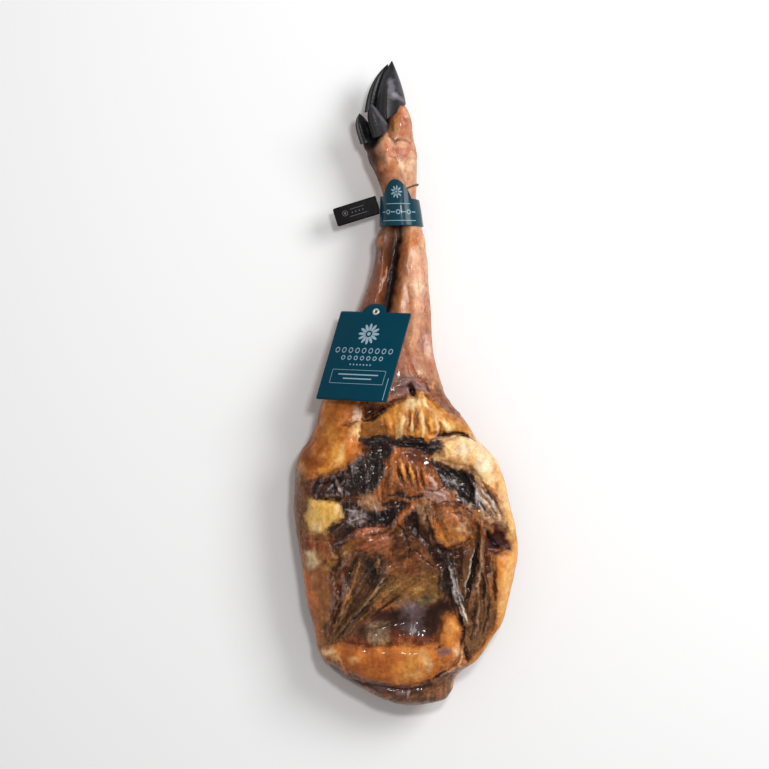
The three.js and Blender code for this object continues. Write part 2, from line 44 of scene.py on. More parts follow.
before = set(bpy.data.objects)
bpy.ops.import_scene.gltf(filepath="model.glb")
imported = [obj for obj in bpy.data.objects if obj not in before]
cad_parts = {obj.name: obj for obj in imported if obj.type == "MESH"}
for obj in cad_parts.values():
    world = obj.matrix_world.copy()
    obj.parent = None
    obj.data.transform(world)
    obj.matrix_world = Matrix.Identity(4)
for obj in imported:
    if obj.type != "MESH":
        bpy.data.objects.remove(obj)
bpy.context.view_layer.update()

MM = 0.001


# Form of the leg. Lengths are in millimetres, as in the part's own source.

# Stations from the butt to the toes: left edge x and y, right edge x and y, height of the
# underside and of the crown, height of the left and of the right edge.
STATIONS = np.array([
    [5, -160, 5, -160, 40, 40, 40, 40],
    [-12, -157, 22, -158.5, 28, 54, 40, 40],
    [-32, -150, 42, -154, 18, 64, 40, 40],
    [-52, -139, 50, -144, 12, 70, 40, 41],
    [-72, -127.5, 54, -130, 8, 74, 40, 41],
    [-88, -113.5, 62, -120.5, 4, 77, 41, 42],
    [-96, -98, 80, -109, 1, 80, 42, 44],
    [-98.5, -82, 94, -88, -1, 82, 42, 45],
    [-103, -63, 106, -69, -2, 84, 42, 46],
    [-108.5, -42, 113, -46, -3, 86, 42, 47],
    [-112, -18, 119, -20, -3, 88, 42, 47],
    [-116, 8, 123.5, 8, -3, 90, 42, 48],
    [-119.5, 34, 121.5, 34, -3, 91, 42, 48],
    [-122, 62, 114.5, 62, -3, 92, 42, 49],
    [-120.5, 90, 108, 92, -2, 92, 43, 49],
    [-118, 113, 98, 114, 0, 92, 43, 50],
    [-106, 132, 80, 131, 2, 91, 44, 50],
    [-98, 148, 69, 148, 5, 89, 45, 49],
    [-94, 164, 57, 165, 8, 87, 46, 48],
    [-90, 180, 44.5, 181, 11, 85, 46, 47],
    [-82, 200, 38, 201, 14, 82, 46, 46],
    [-71, 226, 32, 226, 16, 79, 46, 46],
    [-60, 250, 29.5, 250, 18, 76, 45, 45],
    [-50, 277, 28.3, 277, 20, 73, 45, 45],
    [-41, 301, 26, 301, 21, 71, 45, 44],
    [-35, 322, 25.3, 322, 22, 69, 44, 44],
    [-32, 340, 23, 340, 22, 67, 44, 44],
    [-32.5, 352, 22, 352, 22, 66, 44, 44],
    [-26.5, 367, 18, 367, 23, 65, 44, 44],
    [-24.2, 380, 15, 380, 24, 63, 44, 44],
    [-23.3, 397, 12, 397, 24, 62, 44, 43],
    [-27.5, 412, 12.7, 412, 23, 62.5, 46, 42],
    [-35, 431, 12.8, 431, 21, 65, 48, 40],
    [-40.5, 448, 13.3, 448, 20, 65, 50, 39],
    [-36, 462, 10, 462, 20.5, 62, 50, 39],
    [-29, 474, 8, 476, 21, 59, 49, 39],
    [-25, 486, 5.5, 487, 23, 56, 48, 39],
    [-21, 495, 1.5, 497, 28, 51, 46, 40],
    [-9, 500, -9, 500, 42, 42, 42, 42],
])
BODY_STATIONS = 19
ROWS_PER_BODY_STATION = 15
ROWS_PER_SHANK_STATION = 9
TOP_COLUMNS = 190
UNDER_COLUMNS = 90
# How square the section is: 2 is an ellipse, and more is flatter on top with rounder shoulders.
LEFT_SQUARENESS = 2.5
RIGHT_SQUARENESS = 3.1
UNDER_SQUARENESS = 2.3
SHANK_SQUARENESS = 2.1
SHANK_STARTS_AT = 150
SHANK_IS_ROUND_AT = 230
RELIEF_FADE = 0.5

# Lobes that stand proud of the cut face: height, width of their rounded border, and their edge.
LOBES = [
    ("elbow flap", 7, 22, [
        (-96, 182), (-52, 178), (-47, 165), (-50, 148), (-50, 130), (-54, 117), (-66, 106),
        (-90, 94), (-108, 86), (-130, 84), (-130, 125), (-108, 145)]),
    ("pleated fan of fat", 6, 20, [
        (16, 184), (24, 178), (36, 166), (50, 155), (66, 150), (60, 139), (42, 140), (28, 133),
        (0, 138), (-25, 138), (-49, 134), (-46, 152), (-25, 162), (2, 178)]),
    ("right shoulder fat", 8, 22, [
        (40, 130), (62, 137), (84, 134), (130, 110), (130, 20), (114, 32), (106, 50), (98, 70),
        (84, 88), (72, 104), (55, 107), (36, 112)]),
    ("right rim of fat", 9, 17, [
        (112, 14), (130, 30), (130, -60), (92, -112), (66, -124), (68, -108), (84, -96), (98, -72),
        (100, -45), (97, -15), (93, 8)]),
    ("pale fat cap", 6, 13, [
        (-106, 66), (-88, 67), (-71, 62), (-70, 50), (-80, 41), (-93, 30), (-106, 34), (-109, 52)]),
    ("joint knob", 8, 20, [
        (27, 58), (45, 62), (62, 58), (73, 44), (74, 26), (62, 15), (44, 13), (28, 22), (22, 42)]),
    ("salmon muscle", 5, 16, [
        (-56, 36), (-20, 37), (-12, 22), (-16, 4), (-32, 10), (-52, 13), (-66, 22)]),
    ("golden bottom lobe", 8, 24, [
        (-92, -94), (-68, -88), (-40, -93), (-12, -92), (12, -92), (34, -86), (42, -62), (54, -58),
        (61, -76), (60, -100), (46, -120), (20, -131), (-5, -136), (-42, -130), (-72, -118),
        (-96, -108)]),
    ("left flank muscle", 4, 16, [
        (-130, 25), (-84, 22), (-72, 2), (-78, -14), (-72, -44), (-84, -78), (-120, -78)]),
]
# Lean meat that has dried back: depth, the width of its slope, and its edge.
HOLLOWS = [
    ("dark lean under the elbow", 5, 9, [
        (-50, 134), (0, 136), (24, 131), (37, 124), (28, 112), (8, 118), (-14, 124), (-20, 104),
        (-28, 84), (-45, 72), (-72, 74), (-103, 84), (-75, 98), (-52, 116)]),
    ("dark lean on the right", 6, 9, [
        (30, 112), (56, 104), (68, 97), (78, 80), (79, 60), (66, 64), (46, 80), (30, 100)]),
    ("dark lean in the middle", 5, 9, [
        (-70, 66), (-48, 66), (-30, 57), (-10, 60), (-8, 48), (-20, 37), (-58, 38), (-74, 44)]),
    ("valley beside the knob", 5, 13, [(2, 62), (16, 56), (24, 36), (30, 14), (14, 18), (2, 34)]),
    ("crease of the blade", 6, 9, [
        (74, 50), (86, 40), (82, 10), (76, -20), (68, -60), (66, -100), (62, -92), (64, -60),
        (66, -20), (72, 10)]),
    ("red pocket", 6, 7, [(96, 37), (108, 34), (114, 18), (100, 13), (89, 14), (88, 27)]),
    ("left fan of lean", 4, 10, [
        (-60, 12), (-36, 9), (-20, -16), (-34, -36), (-58, -66), (-80, -86), (-80, -70), (-66, -40),
        (-74, -12)]),
    ("purple hollow", 6, 22, [
        (-30, -56), (4, -46), (48, -40), (52, -52), (38, -66), (30, -84), (0, -84), (-50, -88),
        (-52, -72)]),
    ("groove above the rind", 4, 6, [
        (-66, -126), (0, -137), (26, -133), (44, -121), (50, -116), (46, -126), (26, -140),
        (-2, -145), (-45, -138)]),
    ("elbow pocket", 7, 8, [
        (-48, 170), (-30, 174), (-14, 180), (4, 182), (6, 190), (12, 180), (22, 186), (40, 172),
        (58, 161), (38, 162), (20, 178), (2, 178), (-24, 161), (-46, 153)]),
]
# Long ridges and furrows: height, half the width of the foot, and the path.
LINES = [
    ("valley between the tendons", -13, 15, [
        (-7, 372), (-9, 350), (-13, 325), (-16, 300), (-21, 275), (-27, 245), (-30, 215)]),
    ("shank tendon", 4, 12, [(6, 340), (10, 315), (12, 290), (10, 260), (8, 235)]),
    ("second tendon", 3, 7, [(2, 306), (-3, 285), (-4, 262)]),
    ("groove beside the tendon", -1.2, 6, [(7, 296), (6, 272), (4, 250)]),
    ("long side groove", -3, 8, [(26, 300), (20, 260), (20, 225), (30, 200)]),
    ("left tendon", 2.4, 9, [(-25, 355), (-24, 325), (-28, 295), (-34, 270)]),
    ("glossy sinew", 5, 7, [(50, -8), (53, -28), (60, -50), (67, -66)]),
    ("second sinew", 4, 6, [(84, 38), (83, 8), (86, -14), (92, -36)]),
    ("diagonal tendon", 5, 7, [(8, 60), (-4, 48), (-16, 38)]),
    ("bevel of the right shoulder", -3, 8, [(44, 139), (60, 138), (78, 131)]),
    ("fold at the foot of the lobe", 5, 8, [(32, -130), (48, -120), (64, -113)]),
    ("furrow of the elbow flap", -3, 5, [(-66, 151), (-58, 149), (-50, 150)]),
    ("nick under the fan", -5, 4, [(5, 193), (8, 186), (11, 178)]),
    ("right end of the fan", -3, 4, [(28, 139), (45, 141), (62, 139), (76, 134)]),
    ("ridge in the purple hollow", 3, 4, [(8, -49), (7, -65), (6, -82)]),
    ("crease under the fat cap", -3, 4, [(-94, 69), (-80, 67), (-66, 70), (-50, 68)]),
    ("long crease of the flank", -1.2, 6, [(-72, 8), (-76, -12), (-70, -40), (-80, -76)]),
    ("upper sinew of the fan", 2, 3, [(-30, 0), (-44, -18), (-62, -48), (-78, -78)]),
    ("lower sinew of the fan", 2, 3, [(-26, -26), (-42, -42), (-60, -64), (-76, -84)]),
    ("fold by the pocket", 3, 5, [(86, 30), (92, 42), (104, 46), (114, 36)]),
]
# Rows of upright pleats: height, pitch, lean, fade at the edge, and the edge.
PLEATS = [
    ("pleats under the elbow", 0.7, 10, -0.12, 14, [
        (-2, 180), (24, 178), (46, 150), (36, 136), (0, 138), (-8, 150)]),
    ("pleats of the pillar", 0.7, 9, -0.25, 10, [
        (-16, 124), (6, 118), (38, 82), (26, 74), (-20, 78)]),
]
# How far the pleats wander sideways, and the size and seed of the noise that they follow.
PLEAT_WANDER = 1.5
PLEAT_NOISE = (22, 5)
# Toes and dewclaw stems under the skin: centre, radii, turn in plan and about the long axis.
TOES = [
    ("near toe", (-6, 478, 48), (14, 25, 14), 4, -30),
    ("far toe", (-23, 478, 33), (15, 24, 12), 4, -30),
    ("near dewclaw stem", (-20, 450, 60), (9, 24, 9), 14, -30),
    ("far dewclaw stem", (-32, 445, 46), (9, 18, 9), 12, -30),
    ("far dewclaw root", (-38, 457, 47), (8, 8.5, 8), 16, -30),
]
FOOT_TURN = math.radians(30)
PALMAR = np.array([-math.cos(FOOT_TURN), 0, math.sin(FOOT_TURN)])
LATERAL = np.array([math.sin(FOOT_TURN), 0, math.cos(FOOT_TURN)])
FOOT_STARTS_AT = 425

# Cell of the remesh, and how many triangles are kept of it.
VOXEL = 1.0
LEG_TRIANGLES = 196000
# Directions, in degrees, in which the streaks of the meat are worked out.
GRAIN_TURNS = (0, 30, 60, 90, 120, 150)


def shade(red, green, blue):
    """Scene-linear colour from the 0 to 255 values of a screen colour."""
    values = np.array([red, green, blue]) / 255
    return tuple(np.where(values <= 0.04045, values / 12.92, ((values + 0.055) / 1.055) ** 2.4))


# Tones of the ham's surfaces, as screen colours.
TONES = {
    "meat": (132, 80, 42), "russet": (166, 90, 38), "russet dark": (108, 60, 28),
    "red brown": (138, 64, 32), "dark meat": (56, 33, 19), "butt": (122, 72, 46),
    "flank": (150, 96, 58), "flank red": (148, 84, 54), "fibre brown": (122, 80, 46),
    "streak brown": (110, 72, 48), "orange": (198, 108, 44), "orange rim": (204, 116, 62),
    "knob": (172, 100, 48), "knob gold": (190, 118, 36), "knob pink": (196, 114, 72),
    "salmon": (142, 74, 38), "salmon pink": (196, 112, 84), "gold": (186, 106, 42),
    "bright gold": (214, 142, 66), "pale gold": (226, 178, 114), "cream": (238, 197, 149),
    "white fat": (250, 215, 180), "amber": (180, 104, 40), "bright amber": (220, 150, 66),
    "dark amber": (122, 62, 22), "amber grey": (140, 100, 58), "rim gold": (214, 146, 76),
    # rim highlight: painted light on the right rim of fat, which faces the key light.
    "rim highlight": (230, 172, 104), "butter": (224, 176, 98), "butter deep": (214, 156, 62),
    "fan gold": (200, 130, 56), "fan cream": (240, 204, 150), "fan brown": (98, 52, 16),
    "groove orange": (176, 88, 14), "olive": (132, 90, 38), "olive gold": (164, 108, 44),
    "olive grey": (108, 98, 70), "taupe": (148, 120, 94), "pale patch": (222, 192, 150),
    "tan": (180, 140, 104), "lean": (36, 24, 18), "lean red": (56, 30, 24),
    # valley, valley red and shank valley darken creases and hollows, partly as the meat's own
    # colour and partly as painted shade.
    "lean slate": (58, 50, 50), "valley": (42, 18, 7), "valley red": (74, 28, 12),
    "plum": (116, 88, 86), "dark plum": (66, 44, 40), "wine": (66, 26, 20),
    # silver: pale silvery tissue, with painted glints and sheen laid over it.
    "sinew": (220, 200, 176), "silver": (184, 172, 172), "rose": (190, 128, 104),
    "rose brown": (164, 102, 74), "pink glint": (236, 204, 190), "flap": (152, 94, 58),
    # shank red and shank dark on the shank's left and foot dark on the foot's left are partly
    # painted shade; shank light on the right lobe is partly painted light.
    "flap light": (214, 160, 120), "shank skin": (204, 146, 110), "shank dark": (84, 50, 30),
    "shank red": (118, 62, 34), "shank orange": (190, 114, 60), "shank light": (216, 164, 132),
    # skin highlight: painted highlights on the shank and the foot.
    "foot skin": (196, 144, 110), "skin highlight": (234, 196, 164), "foot red": (174, 98, 68),
    # near black: the heel and the skin round the bases of the claws and dewclaws.
    "foot dark": (58, 32, 20), "foot brown": (128, 80, 44), "near black": (20, 15, 13),
    # mauve sheen: a painted sheen on the purple hollow.
    "shank valley": (34, 18, 12), "hollow": (50, 27, 20), "mauve sheen": (122, 102, 106),
    "fan meat": (122, 84, 52), "rind": (168, 108, 54), "rind dark": (104, 62, 34),
}
LEAN_TONES = ("dark meat", "lean", "lean red", "lean slate", "valley")
FAT_TONES = (
    "gold", "pale gold", "cream", "white fat", "amber", "bright amber", "dark amber", "rim gold",
    "butter", "fan gold", "fan cream", "fan brown", "groove orange", "pale patch", "orange rim",
    "flank", "plum", "mauve sheen", "dark plum", "hollow", "wine", "silver", "sinew", "pink glint",
    "rose", "valley red", "shank valley",
)
# How wet a place is, from 0 to 1.
WET = 1.0
MOIST = 0.6
DRY = 0.2
# Patches of colour, laid in this order: tone, strength, width of the soft edge, how far the edge
# wanders, how wet it is, which way its fibres run in degrees, and its edge.
PATCHES = [
    ("flank", 0.95, 9, 5, DRY, 80, [
        (-130, 25), (-84, 22), (-76, 4), (-80, -12), (-72, -30), (-66, -52), (-78, -86),
        (-100, -95), (-130, -60)]),
    ("orange rim", 0.8, 9, 4, DRY, 90, [
        (-135, -6), (-106, -10), (-102, -30), (-97, -50), (-93, -78), (-98, -92), (-135, -84)]),
    ("butt", 0.95, 6, 5, MOIST, 20, [
        (-104, -98), (-70, -120), (-42, -134), (0, -139), (30, -133), (50, -122), (66, -112),
        (74, -130), (40, -170), (-60, -170), (-120, -120)]),
    ("fibre brown", 0.95, 6, 4, MOIST, 88, [
        (78, 46), (92, 10), (96, -15), (97, -45), (98, -70), (84, -95), (68, -112), (62, -90),
        (58, -50), (56, -10), (70, 10)]),
    ("rim gold", 1, 6, 3, DRY, 90, [
        (103, 64), (113, 42), (117, 30), (114, 8), (98, 6), (97, -15), (97, -40), (100, -60),
        (97, -75), (85, -95), (72, -107), (62, -118), (90, -130), (140, -60), (140, 64)]),
    ("cream", 1, 8, 4, DRY, 80, [
        (40, 132), (60, 139), (82, 138), (112, 125), (140, 100), (140, 52), (114, 56), (103, 65),
        (95, 75), (82, 88), (70, 103), (50, 107), (32, 113), (40, 121)]),
    ("tan", 0.9, 5, 4, WET, 122, [
        (76, 92), (84, 88), (98, 72), (104, 62), (112, 50), (108, 38), (90, 42), (80, 46),
        (78, 70)]),
    ("amber", 1, 6, 3, DRY, 75, [
        (-100, 184), (-50, 181), (-46, 165), (-49, 150), (-49, 132), (-50, 118), (-60, 110),
        (-75, 100), (-90, 93), (-105, 86), (-135, 84), (-135, 130), (-110, 150)]),
    ("fan gold", 1, 5, 2, DRY, 90, [
        (18, 186), (34, 176), (48, 164), (66, 152), (76, 138), (60, 138), (40, 137), (28, 132),
        (10, 136), (-25, 137), (-50, 134), (-48, 152), (-25, 163), (2, 179)]),
    ("fan brown", 0.85, 9, 7, MOIST, 0, [
        (-49, 134), (-18, 137), (-20, 150), (-32, 162), (-47, 154)]),
    ("russet", 0.95, 7, 5, MOIST, 100, [
        (-18, 126), (-2, 124), (20, 112), (40, 98), (52, 80), (62, 68), (40, 62), (10, 64),
        (-22, 70), (-32, 84), (-22, 104)]),
    ("lean", 0.97, 3, 5, WET, 85, [
        (-50, 133), (-20, 136), (-12, 129), (-16, 118), (-20, 105), (-27, 92), (-30, 80), (-42, 72),
        (-60, 70), (-75, 74), (-84, 84), (-78, 97), (-62, 107), (-52, 113), (-44, 118),
        (-50, 126)]),
    ("lean red", 0.92, 7, 4, WET, 70, [
        (-104, 87), (-84, 94), (-72, 96), (-66, 84), (-72, 72), (-86, 68), (-104, 76)]),
    ("russet", 0.85, 4, 4, MOIST, 10, [(-52, 129), (-38, 128), (-36, 122), (-50, 117)]),
    ("lean", 0.95, 3, 4, WET, 0, [
        (-52, 136), (-20, 138), (0, 138), (25, 134), (34, 132), (42, 126), (36, 118), (24, 120),
        (10, 122), (-6, 126), (-20, 129), (-40, 127)]),
    ("valley red", 0.9, 5, 4, WET, 100, [
        (-4, 122), (14, 122), (26, 118), (34, 108), (30, 100), (14, 106), (2, 110)]),
    ("pale gold", 0.8, 8, 5, DRY, 60, [
        (36, 122), (44, 132), (62, 132), (66, 118), (70, 104), (50, 107), (32, 113)]),
    ("lean", 0.97, 3, 5, WET, 118, [
        (28, 112), (45, 104), (57, 104), (66, 98), (76, 87), (80, 75), (82, 60), (76, 58), (66, 62),
        (54, 76), (42, 84), (34, 98)]),
    # Silvery tissue with painted sheen over it.
    ("silver", 0.35, 7, 6, WET, 145, [(22, 86), (34, 84), (50, 72), (54, 62), (36, 62), (22, 70)]),
    ("lean red", 0.9, 4, 4, WET, 165, [
        (-106, 76), (-90, 74), (-70, 72), (-60, 68), (-72, 64), (-92, 68), (-106, 70)]),
    ("streak brown", 0.8, 6, 4, MOIST, 90, [
        (-122, 110), (-108, 88), (-103, 70), (-107, 45), (-118, 38), (-135, 60)]),
    ("lean", 0.96, 4, 5, WET, 80, [
        (-68, 66), (-50, 68), (-45, 58), (-30, 56), (-18, 61), (0, 66), (-2, 56), (-11, 42),
        (-20, 36), (-40, 38), (-55, 37), (-66, 35), (-73, 46)]),
    ("tan", 0.7, 5, 4, MOIST, 80, [(-50, 70), (-34, 72), (-26, 62), (-34, 56), (-46, 60)]),
    ("amber grey", 0.85, 7, 4, DRY, 90, [
        (-135, 50), (-110, 48), (-106, 34), (-92, 26), (-100, 22), (-135, 18)]),
    ("butter", 1, 4, 3, DRY, 80, [
        (-107, 69), (-92, 69), (-78, 65), (-70, 63), (-68, 50), (-78, 41), (-88, 35), (-95, 28),
        (-106, 31), (-109, 50)]),
    ("lean red", 0.9, 4, 4, WET, 30, [
        (-86, 39), (-70, 43), (-57, 37), (-54, 27), (-60, 21), (-73, 13), (-82, 20), (-76, 31)]),
    ("olive gold", 0.9, 4, 3, MOIST, 40, [
        (-50, 24), (-56, 15), (-66, 8), (-74, -4), (-84, -12), (-90, -6), (-80, 4), (-70, 16),
        (-60, 22)]),
    ("red brown", 0.85, 6, 4, MOIST, 90, [
        (-116, 27), (-98, 26), (-84, 22), (-82, 12), (-96, 14), (-106, 12), (-118, 10)]),
    ("pale patch", 0.9, 5, 3, DRY, 90, [(-108, 12), (-98, 12), (-94, 0), (-100, -11), (-107, -6)]),
    ("knob", 1, 7, 4, MOIST, 120, [
        (25, 59), (45, 62), (63, 58), (74, 44), (75, 26), (66, 14), (44, 12), (27, 20), (21, 42)]),
    ("tan", 0.85, 5, 3, MOIST, 75, [(14, 62), (26, 66), (30, 54), (20, 42), (14, 48)]),
    # This valley patch beside the knob is partly painted shade.
    ("valley", 0.78, 8, 4, MOIST, 80, [
        (0, 60), (12, 60), (20, 44), (28, 22), (24, 14), (12, 20), (0, 34)]),
    ("salmon", 0.95, 12, 8, MOIST, 30, [
        (-56, 36), (-20, 38), (-8, 28), (-12, 14), (-20, 4), (-26, 6), (-38, 10), (-52, 13),
        (-62, 20)]),
    ("russet dark", 0.85, 14, 9, MOIST, 40, [
        (-16, 34), (0, 30), (12, 22), (26, 14), (44, 0), (40, -14), (20, -18), (-8, -17),
        (-20, -4)]),
    # Partly painted shade under the knob.
    ("valley", 0.8, 7, 5, MOIST, 90, [
        (26, 16), (44, 8), (64, 12), (70, 20), (72, 6), (60, -6), (44, -4), (30, 2)]),
    ("dark meat", 0.95, 7, 5, WET, 100, [
        (34, -4), (54, 0), (62, -10), (58, -30), (62, -50), (50, -52), (44, -40), (36, -30)]),
    ("olive", 0.95, 14, 9, MOIST, 35, [
        (-34, -14), (-10, -14), (20, -16), (36, -18), (42, -34), (30, -46), (4, -48), (-20, -46),
        (-44, -52), (-56, -66), (-50, -44)]),
    ("dark meat", 0.6, 7, 7, MOIST, 75, [
        (-80, 6), (-66, 8), (-60, -20), (-56, -44), (-66, -62), (-76, -82), (-85, -84), (-81, -58),
        (-79, -30), (-81, -12)]),
    ("fan meat", 0.95, 4, 5, MOIST, 70, [
        (-66, 6), (-58, 13), (-45, 9), (-30, 10), (-20, 0), (-18, -16), (-28, -30), (-44, -46),
        (-60, -68), (-72, -84), (-84, -90), (-76, -68), (-60, -42), (-62, -20), (-66, -8)]),
    ("lean", 0.7, 8, 5, WET, 70, [
        (-48, 6), (-32, 10), (-20, -4), (-19, -20), (-30, -30), (-46, -22)]),
    ("streak brown", 0.85, 6, 5, MOIST, 48, [
        (-46, -50), (-34, -48), (-30, -56), (-44, -74), (-52, -88), (-74, -88), (-60, -68)]),
    ("hollow", 0.95, 8, 5, MOIST, 90, [
        (-34, -54), (-10, -52), (4, -47), (40, -44), (52, -46), (50, -58), (40, -66), (34, -82),
        (20, -88), (0, -86), (-18, -88), (-40, -92), (-60, -90), (-56, -80), (-40, -68)]),
    # A painted sheen on the purple hollow.
    ("mauve sheen", 0.75, 11, 7, WET, 120, [
        (-6, -46), (12, -44), (20, -46), (17, -56), (14, -70), (10, -84), (-2, -76)]),
    ("taupe", 0.85, 4, 3, MOIST, 60, [(-40, -68), (-18, -66), (-20, -88), (-32, -93), (-42, -86)]),
    ("red brown", 0.85, 8, 5, MOIST, 90, [
        (-66, -82), (-44, -84), (-30, -92), (-16, -78), (0, -80), (20, -82), (36, -76), (36, -92),
        (-10, -98), (-68, -96)]),
    ("gold", 1, 8, 4, MOIST, 92, [
        (-94, -96), (-74, -89), (-40, -94), (-15, -93), (0, -88), (12, -90), (35, -86), (41, -70),
        (47, -57), (55, -60), (62, -76), (62, -98), (56, -106), (46, -114), (36, -124), (20, -132),
        (0, -136), (-20, -135), (-45, -129), (-65, -118), (-82, -110), (-96, -103)]),
    ("dark plum", 0.85, 4, 4, WET, 20, [
        (-94, -106), (-70, -120), (-45, -131), (0, -137), (25, -133), (40, -122), (50, -116),
        (44, -128), (26, -142), (0, -148), (-46, -144), (-84, -124)]),
    ("flap", 0.9, 5, 4, MOIST, 80, [
        (22, -140), (42, -124), (62, -114), (70, -120), (54, -150), (30, -170), (10, -170)]),
    ("wine", 0.97, 4, 2, MOIST, 130, [
        (88, 42), (100, 40), (108, 33), (114, 22), (116, 11), (108, 14), (99, 9), (89, 11),
        (85, 24), (87, 34)]),
    ("russet dark", 0.8, 6, 4, MOIST, 30, [
        (-50, 172), (-30, 175), (-14, 174), (-18, 166), (-30, 158), (-46, 152), (-47, 160)]),
    ("rose brown", 0.9, 4, 3, MOIST, 10, [(-17, 184), (2, 183), (6, 180), (-2, 176), (-16, 171)]),
    # The shank, then the foot. Shank red and shank dark on the shank's left are partly painted
    # shade, shank light on its right lobe partly painted light, and foot dark on the foot's left
    # side painted shade.
    ("shank red", 0.9, 9, 4, MOIST, 78, [
        (-14, 340), (-16, 300), (-30, 240), (-44, 192), (-110, 192), (-70, 250), (-46, 330),
        (-40, 345)]),
    ("shank dark", 0.9, 9, 4, MOIST, 85, [
        (-44, 372), (-10, 372), (-14, 330), (-20, 322), (-34, 330)]),
    ("shank light", 0.85, 9, 4, DRY, 88, [
        (2, 372), (30, 372), (34, 300), (24, 270), (10, 262), (6, 300), (5, 340)]),
    ("rose", 0.7, 8, 5, DRY, 85, [(20, 292), (34, 300), (40, 210), (24, 196), (16, 240)]),
    ("plum", 0.85, 5, 4, MOIST, 20, [
        (-18, 206), (5, 203), (14, 200), (26, 194), (34, 186), (22, 184), (10, 189), (4, 182),
        (-18, 181)]),
    ("red brown", 0.75, 5, 4, MOIST, 130, [
        (14, 200), (24, 200), (36, 184), (50, 166), (62, 158), (56, 154), (34, 172), (22, 186)]),
    # Painted shade on the foot's left side.
    ("foot dark", 0.9, 10, 4, DRY, 100, [
        (-52, 456), (-34, 458), (-29, 440), (-24, 424), (-20, 390), (-46, 390)]),
    ("foot brown", 0.85, 5, 3, MOIST, 90, [
        (-20, 470), (-10, 500), (-6, 496), (-8, 470), (-14, 462)]),
    # Near black over the heel and round the bases of the dewclaws.
    ("near black", 1, 4, 2, DRY, 90, [
        (-60, 500), (-18, 520), (-14, 498), (-16, 478), (-20, 471), (-24, 464), (-32, 452),
        (-44, 446), (-60, 452)]),
    # Near black round the bases of the claws.
    ("near black", 1, 3, 2, DRY, 90, [
        (-30, 530), (20, 530), (16, 502), (0, 500), (-14, 497), (-24, 490)]),
]
